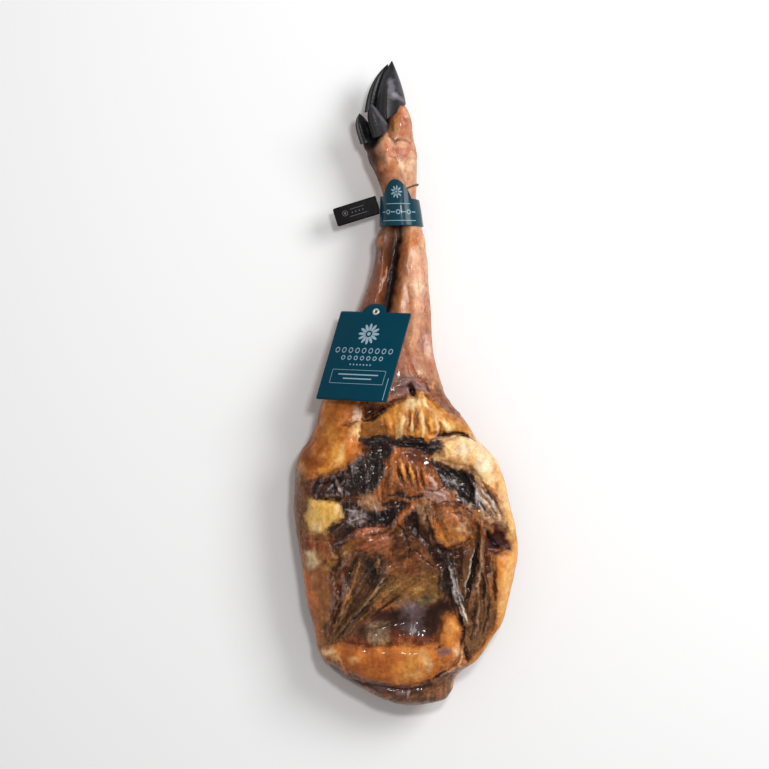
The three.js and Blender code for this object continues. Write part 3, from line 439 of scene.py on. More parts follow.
# Soft dabs of colour: tone, strength, middle x and y, half lengths, and turn in degrees. Valley
# dabs in the hollows and under the knob are partly painted shade.
DABS = [
    ("dark amber", 0.8, -102, 116, 14, 18, 0), ("dark plum", 0.7, -112, 132, 7, 24, -35),
    # The bright amber dab at (-75, 121) and the pale gold dab at (-70, 117) are painted highlights
    # on the elbow flap.
    ("dark plum", 0.6, -96, 160, 5, 22, -12), ("bright amber", 0.9, -75, 121, 13, 18, 10),
    ("pale gold", 0.8, -70, 117, 4, 13, -8), ("bright amber", 0.6, -82, 143, 6, 9, 0),
    ("orange", 0.7, -65, 162, 8, 14, 0), ("pink glint", 0.75, -54, 161, 4, 12, -15),
    ("pale gold", 0.8, -55, 143, 6, 8, 0), ("bright amber", 0.7, -86, 100, 14, 5, 20),
    # The tan dab at (-116, 102) is a painted highlight.
    ("orange", 0.6, -60, 121, 7, 12, -30), ("tan", 0.6, -116, 102, 3.5, 13, 0),
    ("fan cream", 0.9, 8, 172, 9, 7, 0), ("bright gold", 0.4, 26, 156, 20, 12, -20),
    ("fan cream", 0.85, -4, 147, 6, 11, 0), ("bright gold", 0.5, -14, 156, 8, 8, 0),
    ("pale gold", 0.7, 46, 147, 10, 8, -20), ("olive gold", 0.7, 62, 148, 9, 8, -50),
    ("pale gold", 0.5, 36, 160, 6, 10, 50), ("pink glint", 0.8, 34, 136, 4, 3.5, 0),
    # The rim highlight dabs here and on the lines below paint the light on the right rim.
    ("rim highlight", 0.85, 106, 84, 9, 28, 12), ("white fat", 0.9, 86, 106, 9, 12, 20),
    ("white fat", 0.8, 62, 122, 8, 6, 0), ("bright amber", 0.75, 72, 110, 3, 12, 0),
    ("pale gold", 0.8, 85, 92, 9, 8, 0), ("rose", 0.5, 97, 94, 3, 12, 5),
    ("bright gold", 0.6, 92, 83, 9, 7, 0), ("amber", 0.7, 66, 106, 6, 4, -20),
    ("red brown", 0.7, 41, 120, 5, 6, 0), ("amber", 0.5, 52, 112, 12, 5, 0),
    ("rim highlight", 0.9, 115, 40, 6, 22, 8), ("rim highlight", 0.8, 112, -16, 6, 28, -6),
    ("orange", 0.85, 101, -14, 5, 24, 0), ("orange", 0.5, 96, -76, 6, 14, -35),
    ("rim highlight", 0.5, 105, -50, 5, 14, -8), ("rose", 0.4, 109, -2, 4, 6, 0),
    ("dark amber", 0.5, 82, -102, 10, 6, 45), ("butter deep", 0.8, -86, 56, 9, 9, 0),
    ("cream", 0.7, -98, 36, 6, 8, 20), ("cream", 0.5, -72, 56, 4, 7, 0),
    ("olive grey", 0.4, -105, 60, 4, 10, 0), ("knob pink", 0.7, 54, 49, 13, 7, -20),
    ("knob gold", 0.85, 46, 28, 16, 10, 0), ("orange", 0.4, 40, 40, 12, 8, 0),
    # These two cream dabs are painted glints on the knob.
    ("cream", 0.55, 60, 39, 6, 3, 0), ("cream", 0.5, 68, 32, 4, 3, 20),
    ("valley", 0.85, 44, 12, 19, 5, 0), ("dark meat", 0.6, 62, 16, 6, 5, 0),
    # The white fat dab at (69, 59) is a painted glint.
    ("orange", 0.6, 36, 44, 7, 6, 0), ("white fat", 0.95, 69, 59, 3.5, 5, 30),
    ("olive gold", 0.8, 78, 53, 4, 5, 0), ("salmon pink", 0.4, -26, 20, 10, 9, -20),
    ("salmon pink", 0.6, -42, 34, 14, 3, 0), ("russet dark", 0.5, -50, 20, 8, 6, 0),
    ("red brown", 0.7, 5, -8, 8, 6, 0), ("orange", 0.5, 2, 2, 6, 4, 0),
    ("russet", 0.5, 18, 8, 9, 5, 20), ("valley", 0.6, 36, 8, 8, 6, 0),
    ("valley", 0.5, -2, 20, 4, 10, 0), ("olive gold", 0.75, 8, -30, 14, 8, 0),
    ("pale gold", 0.5, 15, -29, 5, 3, -30), ("olive grey", 0.8, 24, -42, 12, 5, 15),
    ("lean slate", 0.7, 40, -26, 6, 8, 0), ("lean slate", 0.6, -36, -8, 6, 12, -10),
    ("dark meat", 0.5, -20, -24, 8, 5, 30), ("valley", 0.9, 31, -64, 11, 14, 0),
    ("valley", 0.85, -14, -55, 18, 6, 8), ("valley red", 0.6, -10, -76, 8, 7, 0),
    ("lean", 0.6, -16, -58, 10, 5, 0), ("orange", 0.6, 2, -85, 6, 4, 0),
    ("valley", 0.75, 40, -46, 10, 7, 0), ("valley", 0.7, -46, -52, 11, 8, 40),
    ("dark meat", 0.5, -36, -44, 9, 6, 30), ("amber", 0.75, 36, -83, 7, 7, 0),
    ("orange", 0.45, 8, -87, 8, 4, 0), ("pale gold", 0.4, -24, -86, 7, 5, 0),
    ("bright gold", 0.85, 6, -112, 16, 20, 0), ("pale gold", 0.45, -56, -106, 7, 5, 0),
    ("bright gold", 0.9, 50, -74, 7, 14, -5), ("cream", 0.6, 56, -96, 5, 9, 0),
    ("cream", 0.8, -84, -98, 9, 5, 15), ("pale gold", 0.6, -78, -106, 6, 5, 0),
    ("red brown", 0.5, -30, -112, 18, 11, 0), ("red brown", 0.5, -52, -118, 10, 8, -20),
    ("cream", 0.5, 26, -112, 6, 8, 0), ("plum", 0.9, 43, -99, 8, 7, 10),
    ("red brown", 0.5, -66, -102, 8, 12, 0), ("pale gold", 0.5, 22, -104, 7, 9, 0),
    ("red brown", 0.35, -12, -104, 14, 7, 0), ("pale gold", 0.4, 8, -124, 14, 5, 10),
    ("dark amber", 0.4, -30, -128, 18, 4, -6), ("valley", 0.5, 38, -107, 4, 3, 0),
    # The silver dabs on this line and the next paint sheen over silvery lean.
    ("flap light", 0.85, 53, -134, 4, 18, -20), ("silver", 0.6, -58, 51, 9, 10, 0),
    ("silver", 0.4, -50, 48, 12, 6, 0), ("gold", 0.7, -40, -143, 8, 3, -20),
    ("plum", 0.7, -4, -145, 6, 6, 0), ("plum", 0.5, -26, -140, 10, 5, 0),
    ("valley", 0.6, 20, -152, 14, 4, 0), ("orange", 0.5, -105, -20, 7, 10, 0),
    ("red brown", 0.6, -105, -62, 8, 14, 0), ("flank red", 0.5, -88, -20, 9, 9, 0),
    ("dark meat", 0.35, -75, -40, 6, 16, 10), ("cream", 0.6, -88, -78, 5, 2.5, 15),
    ("olive gold", 0.7, -90, -87, 8, 3, 20), ("russet dark", 0.85, -6, 76, 14, 9, 0),
    ("valley", 0.6, -10, 70, 10, 5, 0), ("dark amber", 0.6, -20, 88, 8, 8, 0),
    ("valley", 0.85, 44, 4, 15, 5, 0), ("valley", 0.7, 28, 30, 4, 16, 10),
    ("russet dark", 0.6, 6, 14, 16, 9, 0), ("valley", 0.6, 70, -8, 5, 20, 5),
    # The silver dabs on this line and the next paint sheen over silvery lean.
    ("silver", 0.97, -54, 51, 13, 9, 0), ("silver", 0.5, -52, 104, 6, 14, -20),
    ("silver", 0.55, 54, 88, 13, 7, -35), ("dark meat", 0.6, 78, -60, 7, 20, 0),
    ("russet", 0.6, -70, -30, 8, 14, 0), ("red brown", 0.6, 8, -84, 22, 5, 0),
    ("dark amber", 0.85, -110, 114, 8, 20, 0),
    # The shank, then the foot. Shank red, shank dark and foot dark on the left sides are partly
    # painted shade.
    ("shank orange", 0.85, 8, 352, 9, 12, 0), ("shank red", 0.8, -28, 312, 7, 26, 8),
    ("rose brown", 0.75, 25, 246, 5, 30, 4), ("foot red", 0.6, 2, 480, 9, 18, 0),
    ("foot brown", 0.45, 0, 480, 7, 13, 0), ("foot brown", 0.6, -24, 440, 6, 16, 20),
    # Painted shade on the left of the foot and of the shank.
    ("foot dark", 0.85, -37, 440, 9, 20, 8), ("shank dark", 0.6, -32, 336, 5, 16, 0),
    ("plum", 0.6, -20, 352, 5, 11, -10), ("shank orange", 0.6, -29, 353, 3.5, 10, 0),
    ("shank orange", 0.85, -3, 330, 5, 26, -4), ("shank orange", 0.9, -9, 292, 4, 20, -8),
    ("pink glint", 0.85, 0, 286, 4, 14, -4), ("shank orange", 0.8, 6.5, 281, 2.5, 11, 0),
    # The skin highlight dabs on this line are painted highlights on the shank's right lobe.
    ("skin highlight", 0.9, 9.5, 336, 4, 6, -15), ("skin highlight", 0.9, 14, 302, 4.5, 14, 0),
    ("foot red", 0.5, 12, 349, 4, 4, 0), ("shank orange", 0.4, 3, 358, 5, 9, 0),
    ("rose", 0.5, 22, 318, 4, 22, 0), ("rose", 0.6, 4, 254, 4, 24, -4),
    ("shank skin", 0.8, 10, 246, 9, 26, 0), ("plum", 0.4, 18.5, 240, 2, 16, 0),
    ("pink glint", 0.6, 24.5, 238, 4.5, 20, 4), ("foot red", 0.5, 27, 213, 5, 8, 0),
    # The cream dab at (14.5, 207) is a painted highlight.
    ("cream", 0.8, 14.5, 207, 4, 2, -40), ("foot red", 0.7, 6, 213, 4, 8, 30),
    ("bright amber", 0.7, 29.5, 192, 2.5, 5, 20), ("tan", 0.6, 20, 206, 4, 14, 35),
    # Skin highlight dabs on the foot, on this line and below, are painted highlights.
    ("shank orange", 0.7, 42, 180, 5, 14, 32), ("skin highlight", 0.7, -4, 434, 3, 6, 10),
    ("foot red", 0.7, -15, 447, 7, 8, 20), ("shank orange", 0.7, -12, 430, 5, 10, 25),
    ("skin highlight", 0.5, 6, 434, 6, 14, 0), ("foot red", 0.5, 8, 445, 4, 3, 30),
    ("skin highlight", 0.5, -14, 461, 2.5, 8, 35), ("shank orange", 0.5, -21, 460, 5, 7, 0),
    ("foot red", 0.75, -3, 478, 3.5, 10, 0), ("rose", 0.6, 5, 476, 4, 16, 5),
    ("skin highlight", 0.5, 2, 491, 3, 4, 0), ("bright amber", 0.5, -9.5, 480, 1.6, 11, 0),
    ("foot dark", 0.7, -9, 462, 5, 2.5, 0), ("foot red", 0.6, -7, 498, 8, 3, 0),
]
# Thin ridges and furrows: tone, strength, half width, height, how wet, and the path. Dark tones on
# sunk furrows are partly painted shade, and pale tones on raised ridges partly painted highlights.
STROKES = [
    ("dark amber", 0.22, 2.6, -0.6, DRY, [(43, 129), (50, 120), (48, 110)]),
    ("dark amber", 0.2, 2.6, -0.6, DRY, [(54, 131), (60, 119), (58, 108)]),
    ("dark amber", 0.18, 2.6, -0.5, DRY, [(66, 130), (69, 116), (66, 106)]),
    ("amber", 0.3, 2.8, -0.5, DRY, [(84, 132), (92, 122), (98, 112)]),
    ("amber", 0.35, 2.6, -0.5, DRY, [(106, 108), (104, 92), (100, 78)]),
    ("dark amber", 0.5, 1.5, -0.8, DRY, [(-14, 163), (-13, 150), (-12, 140)]),
    ("dark amber", 0.5, 1.5, -0.8, DRY, [(-24, 160), (-22, 150), (-20, 139)]),
    ("fan gold", 0.5, 1.6, 0.8, DRY, [(-19, 162), (-17, 150), (-16, 140)]),
    ("groove orange", 0.9, 2.2, -1.2, DRY, [(4, 166), (3.5, 150), (3, 138)]),
    ("fan cream", 0.9, 1.8, 1.5, DRY, [(6.5, 163), (6.5, 138)]),
    ("dark amber", 0.95, 2.4, -1.8, MOIST, [(11, 166), (10.5, 150), (11, 139)]),
    ("fan cream", 0.75, 3, 1.6, DRY, [(17, 168), (18.5, 152), (18.5, 136)]),
    ("dark amber", 0.8, 1.6, -1.2, MOIST, [(21, 160), (23.5, 148), (25.5, 138)]),
    ("bright amber", 0.8, 2.6, 1, DRY, [(26, 164), (28, 150), (28, 138)]),
    ("fan cream", 0.75, 2.8, 1.6, DRY, [(33, 160), (34.5, 148), (35, 139)]),
    ("dark amber", 0.8, 1.8, -1.4, MOIST, [(37, 156), (39, 146), (38.5, 138)]),
    ("fan cream", 0.75, 2.6, 1.5, DRY, [(42, 156), (44, 146), (46, 139)]),
    ("dark amber", 0.6, 1.4, -0.8, DRY, [(0, 162), (-0.5, 148), (-1, 138)]),
    ("pale gold", 0.7, 2, 1.2, DRY, [(-6, 162), (-5, 150), (-4.5, 138)]),
    ("fan cream", 0.9, 3, 2, DRY, [(19, 184), (21, 174), (27, 166)]),
    ("valley", 0.95, 2.2, -2, WET, [
        (30, 134), (38, 138), (48, 138.5), (60, 139), (70, 135), (78, 131)]),
    ("pink glint", 0.6, 1.6, 1, WET, [(50, 136), (56, 136.5)]),
    ("valley", 0.9, 2.2, -2, WET, [(-12, 171), (-24, 165), (-34, 158), (-46, 153)]),
    ("valley", 0.95, 2.2, -2.5, WET, [(4, 192), (7, 187), (8, 180)]),
    ("plum", 0.7, 3, -1.5, MOIST, [(30, 180), (40, 171), (50, 163), (60, 158)]),
    ("dark amber", 0.85, 1.5, -1, MOIST, [(-72, 150), (-62, 150), (-50, 151.5)]),
    ("fan cream", 0.7, 1.6, 0.8, DRY, [(-47, 164), (-50, 156), (-51, 144), (-52, 130)]),
    ("orange", 0.9, 3, 2.5, MOIST, [(-12, 126), (-11, 118), (-15, 108), (-14, 104)]),
    ("bright amber", 0.8, 2.6, 2.5, MOIST, [(-5, 112), (-2, 100), (2, 86)]),
    ("bright amber", 0.8, 2.6, 2.5, MOIST, [(2, 110), (7, 98), (10, 86)]),
    ("orange", 0.8, 2.6, 2.2, MOIST, [(10, 104), (14, 94), (18, 82)]),
    ("orange", 0.7, 2.4, 2, MOIST, [(18, 102), (22, 92), (25, 82)]),
    ("valley red", 0.9, 1.8, -1.5, WET, [(-9, 106), (-5, 94), (-2, 82)]),
    ("valley red", 0.9, 1.8, -1.5, WET, [(-1, 110), (3, 98), (6, 84)]),
    ("valley red", 0.85, 1.8, -1.5, WET, [(7, 106), (11, 96), (14, 84)]),
    ("valley red", 0.85, 1.8, -1.5, WET, [(15, 102), (18, 92), (21, 80)]),
    ("pink glint", 0.6, 2, 1.2, WET, [(26, 94), (31, 86), (34, 80)]),
    ("valley", 0.8, 2.5, -1.5, WET, [(-22, 70), (-10, 74), (6, 70), (20, 74), (30, 66)]),
    ("orange", 0.85, 3.2, 0, MOIST, [(10, 60), (-3, 49), (-15, 37)]),
    ("valley", 0.9, 3, -1.5, WET, [(-24, 64), (-10, 65), (4, 63)]),
    # The silver strokes on these lines paint glints on wet lean.
    ("silver", 0.7, 2.2, 1, WET, [(-76, 96), (-72, 84), (-68, 72)]),
    ("silver", 0.7, 3.5, 1.5, WET, [(-62, 58), (-55, 52), (-50, 44)]),
    ("silver", 0.6, 1.3, 0.8, WET, [(-32, 64), (-31, 56), (-30, 50)]),
    ("silver", 0.8, 1.8, 1, WET, [(77, 84), (78, 72), (77, 60)]),
    ("silver", 0.5, 2, 1, WET, [(40, 94), (50, 86), (58, 82)]),
    ("silver", 0.6, 1.6, 1, WET, [(28, 78), (38, 74), (46, 68)]),
    ("silver", 0.6, 1.4, 0.8, WET, [(36, 80), (44, 76), (52, 70)]),
    ("salmon pink", 0.9, 1.8, 1.2, MOIST, [(-55, 38), (-40, 36), (-22, 36)]),
    ("valley", 0.6, 1.2, -0.8, MOIST, [(-48, 30), (-34, 30), (-20, 32)]),
    # Silver strokes: painted glints on wet lean.
    ("silver", 0.85, 3, 1, WET, [(76, 82), (82, 68), (84, 56)]),
    ("silver", 0.7, 2.4, 1.2, WET, [(86, 78), (94, 66), (101, 54)]),
    ("sinew", 0.7, 1.4, 1.2, WET, [(80, 82), (90, 70), (100, 56)]),
    ("sinew", 0.6, 1.4, 1.2, WET, [(80, 74), (90, 62), (98, 50)]),
    ("valley", 0.8, 1.3, -1.2, WET, [(82, 84), (96, 68), (104, 54)]),
    ("valley", 0.8, 1.3, -1, WET, [(80, 68), (88, 56), (96, 46)]),
    ("orange", 0.8, 2.4, 1, DRY, [(84, 90), (94, 80), (101, 68), (101, 60)]),
    # A painted glint.
    ("white fat", 0.8, 2, 1, WET, [(102, 52), (104, 46)]),
    ("olive gold", 0.8, 3, 1.5, DRY, [(89, 38), (94, 34), (97, 30)]),
    ("valley", 0.9, 2, -1.5, MOIST, [(84, 44), (90, 30), (98, 18), (108, 16), (116, 12)]),
    ("lean", 0.97, 4.5, -2, WET, [(80, 24), (76, 8), (74, -8), (71, -24), (67, -40)]),
    ("sinew", 0.6, 1.2, 0.8, WET, [(79, 24), (73, 4), (69, -14), (64, -34), (61, -52)]),
    ("lean", 0.9, 6, 0, WET, [(48, 2), (52, -14), (57, -34), (66, -60)]),
    # The silver strokes on these lines paint glints on the wet sinew and lean.
    ("silver", 0.9, 1.3, 1.5, WET, [(49, -4), (51, -16), (54, -32), (57, -44)]),
    ("sinew", 0.95, 1.6, 1.8, WET, [(52, -10), (55, -24), (60, -42), (66, -60), (69, -68)]),
    ("silver", 0.85, 1.1, 1.5, WET, [(56, -16), (59, -30), (64, -46)]),
    ("silver", 0.7, 0.9, 1, WET, [(58, -48), (62, -58), (64, -68)]),
    ("silver", 0.8, 1, 1.2, WET, [(50, -22), (54, -38), (60, -54)]),
    ("lean slate", 0.9, 1.2, -1.2, WET, [(52, -2), (54, -18), (59, -36), (66, -56)]),
    ("silver", 0.8, 1.2, 1, WET, [(-66, 57), (-58, 55), (-50, 56)]),
    ("silver", 0.8, 1.4, 1, WET, [(-64, 48), (-57, 46), (-50, 49)]),
    ("valley", 0.5, 1.6, -1, WET, [(22, 60), (25, 44), (29, 26), (40, 12), (56, 8), (70, 16)]),
    ("valley", 0.6, 1.3, -1.2, WET, [(28, 62), (44, 66), (60, 63), (74, 50)]),
    ("dark meat", 0.7, 1.2, -1, WET, [(34, 56), (30, 48), (31, 38)]),
    ("dark meat", 0.6, 1.2, -1, WET, [(66, 50), (58, 54), (48, 53)]),
    ("dark meat", 0.6, 1.2, -1, WET, [(72, 30), (66, 22), (56, 18)]),
    ("dark meat", 0.7, 1.4, -1.2, WET, [(-12, 46), (-2, 34), (4, 18), (2, 4)]),
    ("dark meat", 0.6, 1.3, -1, WET, [(12, 14), (22, 2), (34, -8)]),
    ("dark meat", 0.6, 1.2, -1, WET, [(-30, 70), (-24, 62), (-14, 56)]),
    ("dark meat", 0.6, 1.2, -1, WET, [(20, 80), (34, 78), (46, 84)]),
    ("lean", 0.9, 2, -1.5, WET, [(56, -46), (60, -60), (64, -74), (62, -96)]),
    ("tan", 0.85, 1.8, 1.5, WET, [(84, 30), (83, 12), (83, -2), (80, -20), (79, -36)]),
    ("valley red", 0.9, 1.8, -1.5, WET, [(89, 24), (88, 4), (89, -14), (92, -32)]),
    ("tan", 0.7, 1.6, 1, MOIST, [(94, 8), (94, -10), (95, -24)]),
    ("valley", 0.8, 1.8, -1.5, WET, [(84, -6), (86, -22), (84, -48)]),
    ("valley", 0.7, 1.6, -1.2, WET, [(76, -30), (77, -56), (72, -84)]),
    ("valley", 0.7, 1.4, -1.2, WET, [(92, -36), (90, -60), (84, -80)]),
    ("tan", 0.5, 1.4, 0.8, MOIST, [(80, -40), (80, -64), (76, -86)]),
    ("valley", 0.8, 2.2, -2, WET, [(64, -88), (66, -100), (68, -110)]),
    ("red brown", 0.8, 2, -1, MOIST, [(99, 4), (98, -20), (98, -44)]),
    ("olive gold", 0.85, 1.2, 1, MOIST, [(-50, 8), (-51, -6), (-56, -22), (-66, -46), (-80, -74)]),
    ("olive gold", 0.7, 2.2, 1.4, MOIST, [(-29, 6), (-31, -4), (-30, -14)]),
    ("lean", 0.9, 1.5, -1, WET, [(-54, 4), (-60, -16), (-72, -40), (-82, -62)]),
    ("tan", 0.6, 1.4, 1, MOIST, [(-20, -14), (-34, -34), (-52, -56), (-74, -82)]),
    ("lean", 0.9, 2, -1.2, WET, [(-26, -30), (-42, -46), (-58, -64), (-78, -86)]),
    ("olive gold", 0.6, 1.6, 1, MOIST, [(-10, -28), (-28, -42), (-46, -60), (-58, -76)]),
    ("valley", 0.6, 1.4, -1, MOIST, [(-4, -36), (-22, -48), (-40, -62)]),
    ("fan meat", 0.5, 1.8, -0.4, WET, [(-72, 6), (-76, -10), (-72, -26)]),
    ("pale patch", 0.5, 2, 0.8, MOIST, [(-64, 13), (-70, 8)]),
    ("valley", 0.85, 1.8, -1.5, WET, [(30, -128), (40, -122), (48, -117)]),
    ("flap light", 0.9, 2, 1.2, DRY, [(40, -124), (52, -118), (64, -112)]),
    ("rose", 0.5, 1.2, 0.8, DRY, [(-76, -104), (-68, -116), (-60, -128)]),
    ("cream", 0.6, 1.6, 1, DRY, [(62, -92), (61, -104), (56, -116)]),
    ("valley", 0.7, 1.5, -1, WET, [(32, -96), (37, -92), (42, -91)]),
    # A painted glint.
    ("silver", 0.5, 1.2, 0.6, WET, [(4, -140), (2, -150)]),
    # The shank, then the foot. The shank valley and shank dark strokes in the deep valley are
    # partly painted shade.
    ("shank valley", 0.97, 6, 0, DRY, [
        (-4, 372), (-7, 350), (-11, 328), (-14, 304), (-19, 280), (-26, 248), (-30, 218)]),
    ("shank dark", 0.7, 5, 0, DRY, [(-12, 368), (-15, 344), (-19, 322)]),
    ("pink glint", 0.3, 1.3, 1, WET, [(-20, 324), (-22, 312), (-26, 298), (-31, 288)]),
    ("dark plum", 0.5, 2.4, 1, MOIST, [(-15, 320), (-19, 302), (-22, 284), (-27, 262)]),
    ("rose", 0.6, 1, 0.8, MOIST, [(-29, 307), (-27, 303), (-28, 298)]),
    ("rose", 0.4, 1.4, 0.8, MOIST, [(-26, 342), (-27, 332), (-29, 322)]),
    ("amber grey", 0.6, 2, 0, DRY, [(-34, 322), (-40, 303), (-48, 280)]),
    ("shank light", 0.7, 1.6, 1, DRY, [(4, 334), (3, 318), (5, 306)]),
    ("shank orange", 0.6, 1.2, -0.8, DRY, [(4, 304), (3.5, 292), (5, 280)]),
    ("foot red", 0.6, 1.2, -0.6, DRY, [(25, 300), (23, 286), (21, 268)]),
    ("foot red", 0.7, 1.5, -1.2, MOIST, [(3, 222), (7, 212), (12, 203), (22, 196)]),
    ("plum", 0.5, 1.2, 0.8, WET, [(-10, 197), (2, 199), (12, 197)]),
    ("dark plum", 0.6, 1.2, -0.8, WET, [(-12, 190), (0, 192), (10, 192)]),
    # A painted highlight along the front of the foot.
    ("skin highlight", 0.4, 2.2, 0.8, DRY, [(-10, 444), (-4, 430), (1, 414)]),
    ("foot red", 0.4, 1.8, -0.6, DRY, [(-20, 446), (-12, 440), (-6, 443)]),
    ("foot red", 0.3, 1.8, -0.5, DRY, [(12, 452), (4, 450), (-2, 452)]),
    ("foot red", 0.3, 1.8, -0.5, DRY, [(13, 441), (6, 440), (0, 443)]),
    ("foot dark", 0.5, 2, -0.9, DRY, [(10, 461), (4, 459), (-4, 461), (-12, 463), (-18, 470)]),
    ("foot red", 0.6, 1.4, -0.8, DRY, [(-1, 488), (1, 483)]),
]


# Numbers drawn from position, so that every run gives the same surface.

HASH_PRIMES = (73856093, 19349663, 83492791)
HASH_SEED_STEP = 2654435
HASH_START = 97
HASH_MIX = 1274126177
HASH_HALF_RANGE = 2147483647.5
NOISE_OFFSET = 4096
OCTAVE_SEED_STEP = 17


def cell_value(cells, seed):
    """A fixed random value from -1 to 1 for each whole-numbered cell."""
    cells = cells.astype(np.uint32)
    mixed = np.uint32(seed * HASH_SEED_STEP + HASH_START)
    for axis, prime in enumerate(HASH_PRIMES):
        mixed = mixed ^ cells[:, axis] * np.uint32(prime)
    for shift in (13, 15):
        mixed ^= mixed >> np.uint32(shift)
        mixed *= np.uint32(HASH_MIX)
    mixed ^= mixed >> np.uint32(16)
    return mixed / HASH_HALF_RANGE - 1


def soft_noise(points, size, seed):
    """Smooth noise from -1 to 1 with features of a size, one length or one for each axis."""
    place = points / size + NOISE_OFFSET
    cell = np.floor(place)
    part = place - cell
    part = part * part * (3 - 2 * part)
    total = np.zeros(len(points))
    for corner in itertools.product((0, 1), repeat=3):
        corner = np.array(corner)
        weight = np.prod(np.where(corner, part, 1 - part), axis=1)
        total += weight * cell_value(cell + corner, seed)
    return total


def layered_noise(points, size, seed, octaves, shape):
    """Noise with finer and weaker noise on top, each layer bent by the shape function."""
    size = np.array(size, float)
    layers = (soft_noise(points, size / 2**k, seed + OCTAVE_SEED_STEP * k) for k in range(octaves))
    total = sum(shape(layer) / 2**k for k, layer in enumerate(layers))
    return total / (2 - 2 / 2**octaves)


def grain_noise(points, size, seed, octaves=3):
    """Noise from -1 to 1 with round crests and hollows."""
    return layered_noise(points, size, seed, octaves, lambda value: value)


def crest_noise(points, size, seed, octaves=3):
    """Noise with sharp crests at 1 and round hollows towards -1."""
    return layered_noise(points, size, seed, octaves, lambda value: 1 - 2 * np.abs(value))


def step_between(value, low, high):
    """0 below low, 1 above high, and smooth between them."""
    share = np.clip((value - low) / (high - low), 0, 1)
    return share * share * (3 - 2 * share)


def as_column(values):
    """A row of numbers as one column."""
    return np.asarray(values)[:, None]


def unit(vectors):
    """Vectors brought to length 1."""
    return vectors / np.linalg.norm(vectors, axis=-1, keepdims=True)


# Plan-view turns and distances.

def turned(x, y, turn):
    """Coordinates turned by an angle in radians."""
    c, s = math.cos(turn), math.sin(turn)
    return c * x - s * y, s * x + c * y


def segment_distance(x, y, start, end):
    """Distance to a straight segment."""
    run_x = end[0] - start[0]
    run_y = end[1] - start[1]
    along = ((x - start[0]) * run_x + (y - start[1]) * run_y) / (run_x**2 + run_y**2)
    along = np.clip(along, 0, 1)
    return np.hypot(x - start[0] - along * run_x, y - start[1] - along * run_y)


def path_distance(x, y, path):
    """Distance to an open path of straight segments."""
    return np.min([segment_distance(x, y, a, b) for a, b in zip(path, path[1:])], axis=0)


def edge_distance(x, y, edge):
    """Distance to a closed edge, counted as negative outside it."""
    inside = np.zeros(x.shape, bool)
    nearest = np.full(x.shape, np.inf)
    for start, end in zip(edge, edge[1:] + edge[:1]):
        nearest = np.minimum(nearest, segment_distance(x, y, start, end))
        if start[1] != end[1]:
            crosses = (start[1] > y) != (end[1] > y)
            slope = (end[0] - start[0]) / (end[1] - start[1])
            inside ^= crosses & (x < start[0] + slope * (y - start[1]))
    return np.where(inside, nearest, -nearest)


def points_near(x, y, outline, margin):
    """Which points lie within the margin of an outline's box."""
    corners = np.array(outline)
    low = corners.min(0) - margin
    high = corners.max(0) + margin
    return np.flatnonzero((x > low[0]) & (x < high[0]) & (y > low[1]) & (y < high[1]))


# The leg's surface.

def spline(values, share):
    """Points on the smooth curve through the values, which share 0 to 1 runs along."""
    last = len(values) - 1
    place = np.clip(share, 0, 1) * last
    cell = np.minimum(place.astype(int), last - 1)
    t = as_column(place - cell)
    padded = np.vstack([2 * values[0] - values[1], values, 2 * values[-1] - values[-2]])
    before, start, end, after = (padded[cell + k] for k in range(4))
    leave = (end - before) / 2
    arrive = (after - start) / 2
    cubic = 2 * start - 2 * end + leave + arrive
    square = 3 * end - 3 * start - 2 * leave - arrive
    return ((cubic * t + square) * t + leave) * t + start


def relief(x, y):
    """Height of the cut face's lobes, hollows, ridges and pleats over the plain crown."""
    height = np.zeros(x.shape)
    for _, rise, roll, edge in LOBES:
        near = points_near(x, y, edge, 0)
        share = 1 - np.clip(edge_distance(x[near], y[near], edge) / roll, 0, 1)
        height[near] += rise * np.sqrt(1 - share**2)
    for _, depth, roll, edge in HOLLOWS:
        near = points_near(x, y, edge, 0)
        height[near] -= depth * step_between(edge_distance(x[near], y[near], edge), 0, roll)
    for _, rise, reach, path in LINES:
        near = points_near(x, y, path, reach)
        share = np.clip(path_distance(x[near], y[near], path) / reach, 0, 1)
        height[near] += rise * (1 - share**2) ** 2
    for _, rise, pitch, lean, fade, edge in PLEATS:
        near = points_near(x, y, edge, 0)
        share = step_between(edge_distance(x[near], y[near], edge), 0, fade)
        wander = PLEAT_WANDER * soft_noise(np.c_[x[near], y[near], 0 * near], *PLEAT_NOISE)
        phase = 2 * np.pi * (x[near] + lean * y[near] + wander) / pitch
        height[near] += share * rise * np.cos(phase)
    return height


def leg_points(along, around):
    """Points of the leg: along from the butt to the toes, around from the left over the face."""
    station = spline(STATIONS, along)
    left = station[:, [0, 1, 6]]
    right = station[:, [2, 3, 7]]
    above = around <= 0.5
    turn = np.pi * np.where(above, around * 2, (1 - around) * 2)
    sweep = -np.cos(turn)
    side = (1 + sweep) / 2
    middle_y = (left[:, 1] + right[:, 1]) / 2
    roundness = step_between(middle_y, SHANK_STARTS_AT, SHANK_IS_ROUND_AT)
    over_squareness = LEFT_SQUARENESS + (RIGHT_SQUARENESS - LEFT_SQUARENESS) * side
    squareness = np.where(above, over_squareness, UNDER_SQUARENESS)
    power = 2 / (squareness + (SHANK_SQUARENESS - squareness) * roundness)
    across = (1 + np.sign(sweep) * np.abs(sweep) ** power) / 2
    rise = np.abs(np.sin(turn)) ** power
    points = left + (right - left) * as_column(across)
    level = np.where(above, station[:, 5], station[:, 4])
    points[:, 2] += (level - points[:, 2]) * rise
    bumps = relief(points[:, 0], points[:, 1]) * step_between(rise, 0, RELIEF_FADE)
    points[:, 2] += np.where(above, bumps, 0)
    points[:, 2] = np.maximum(points[:, 2], 0)
    return points


# Meshes from arrays.

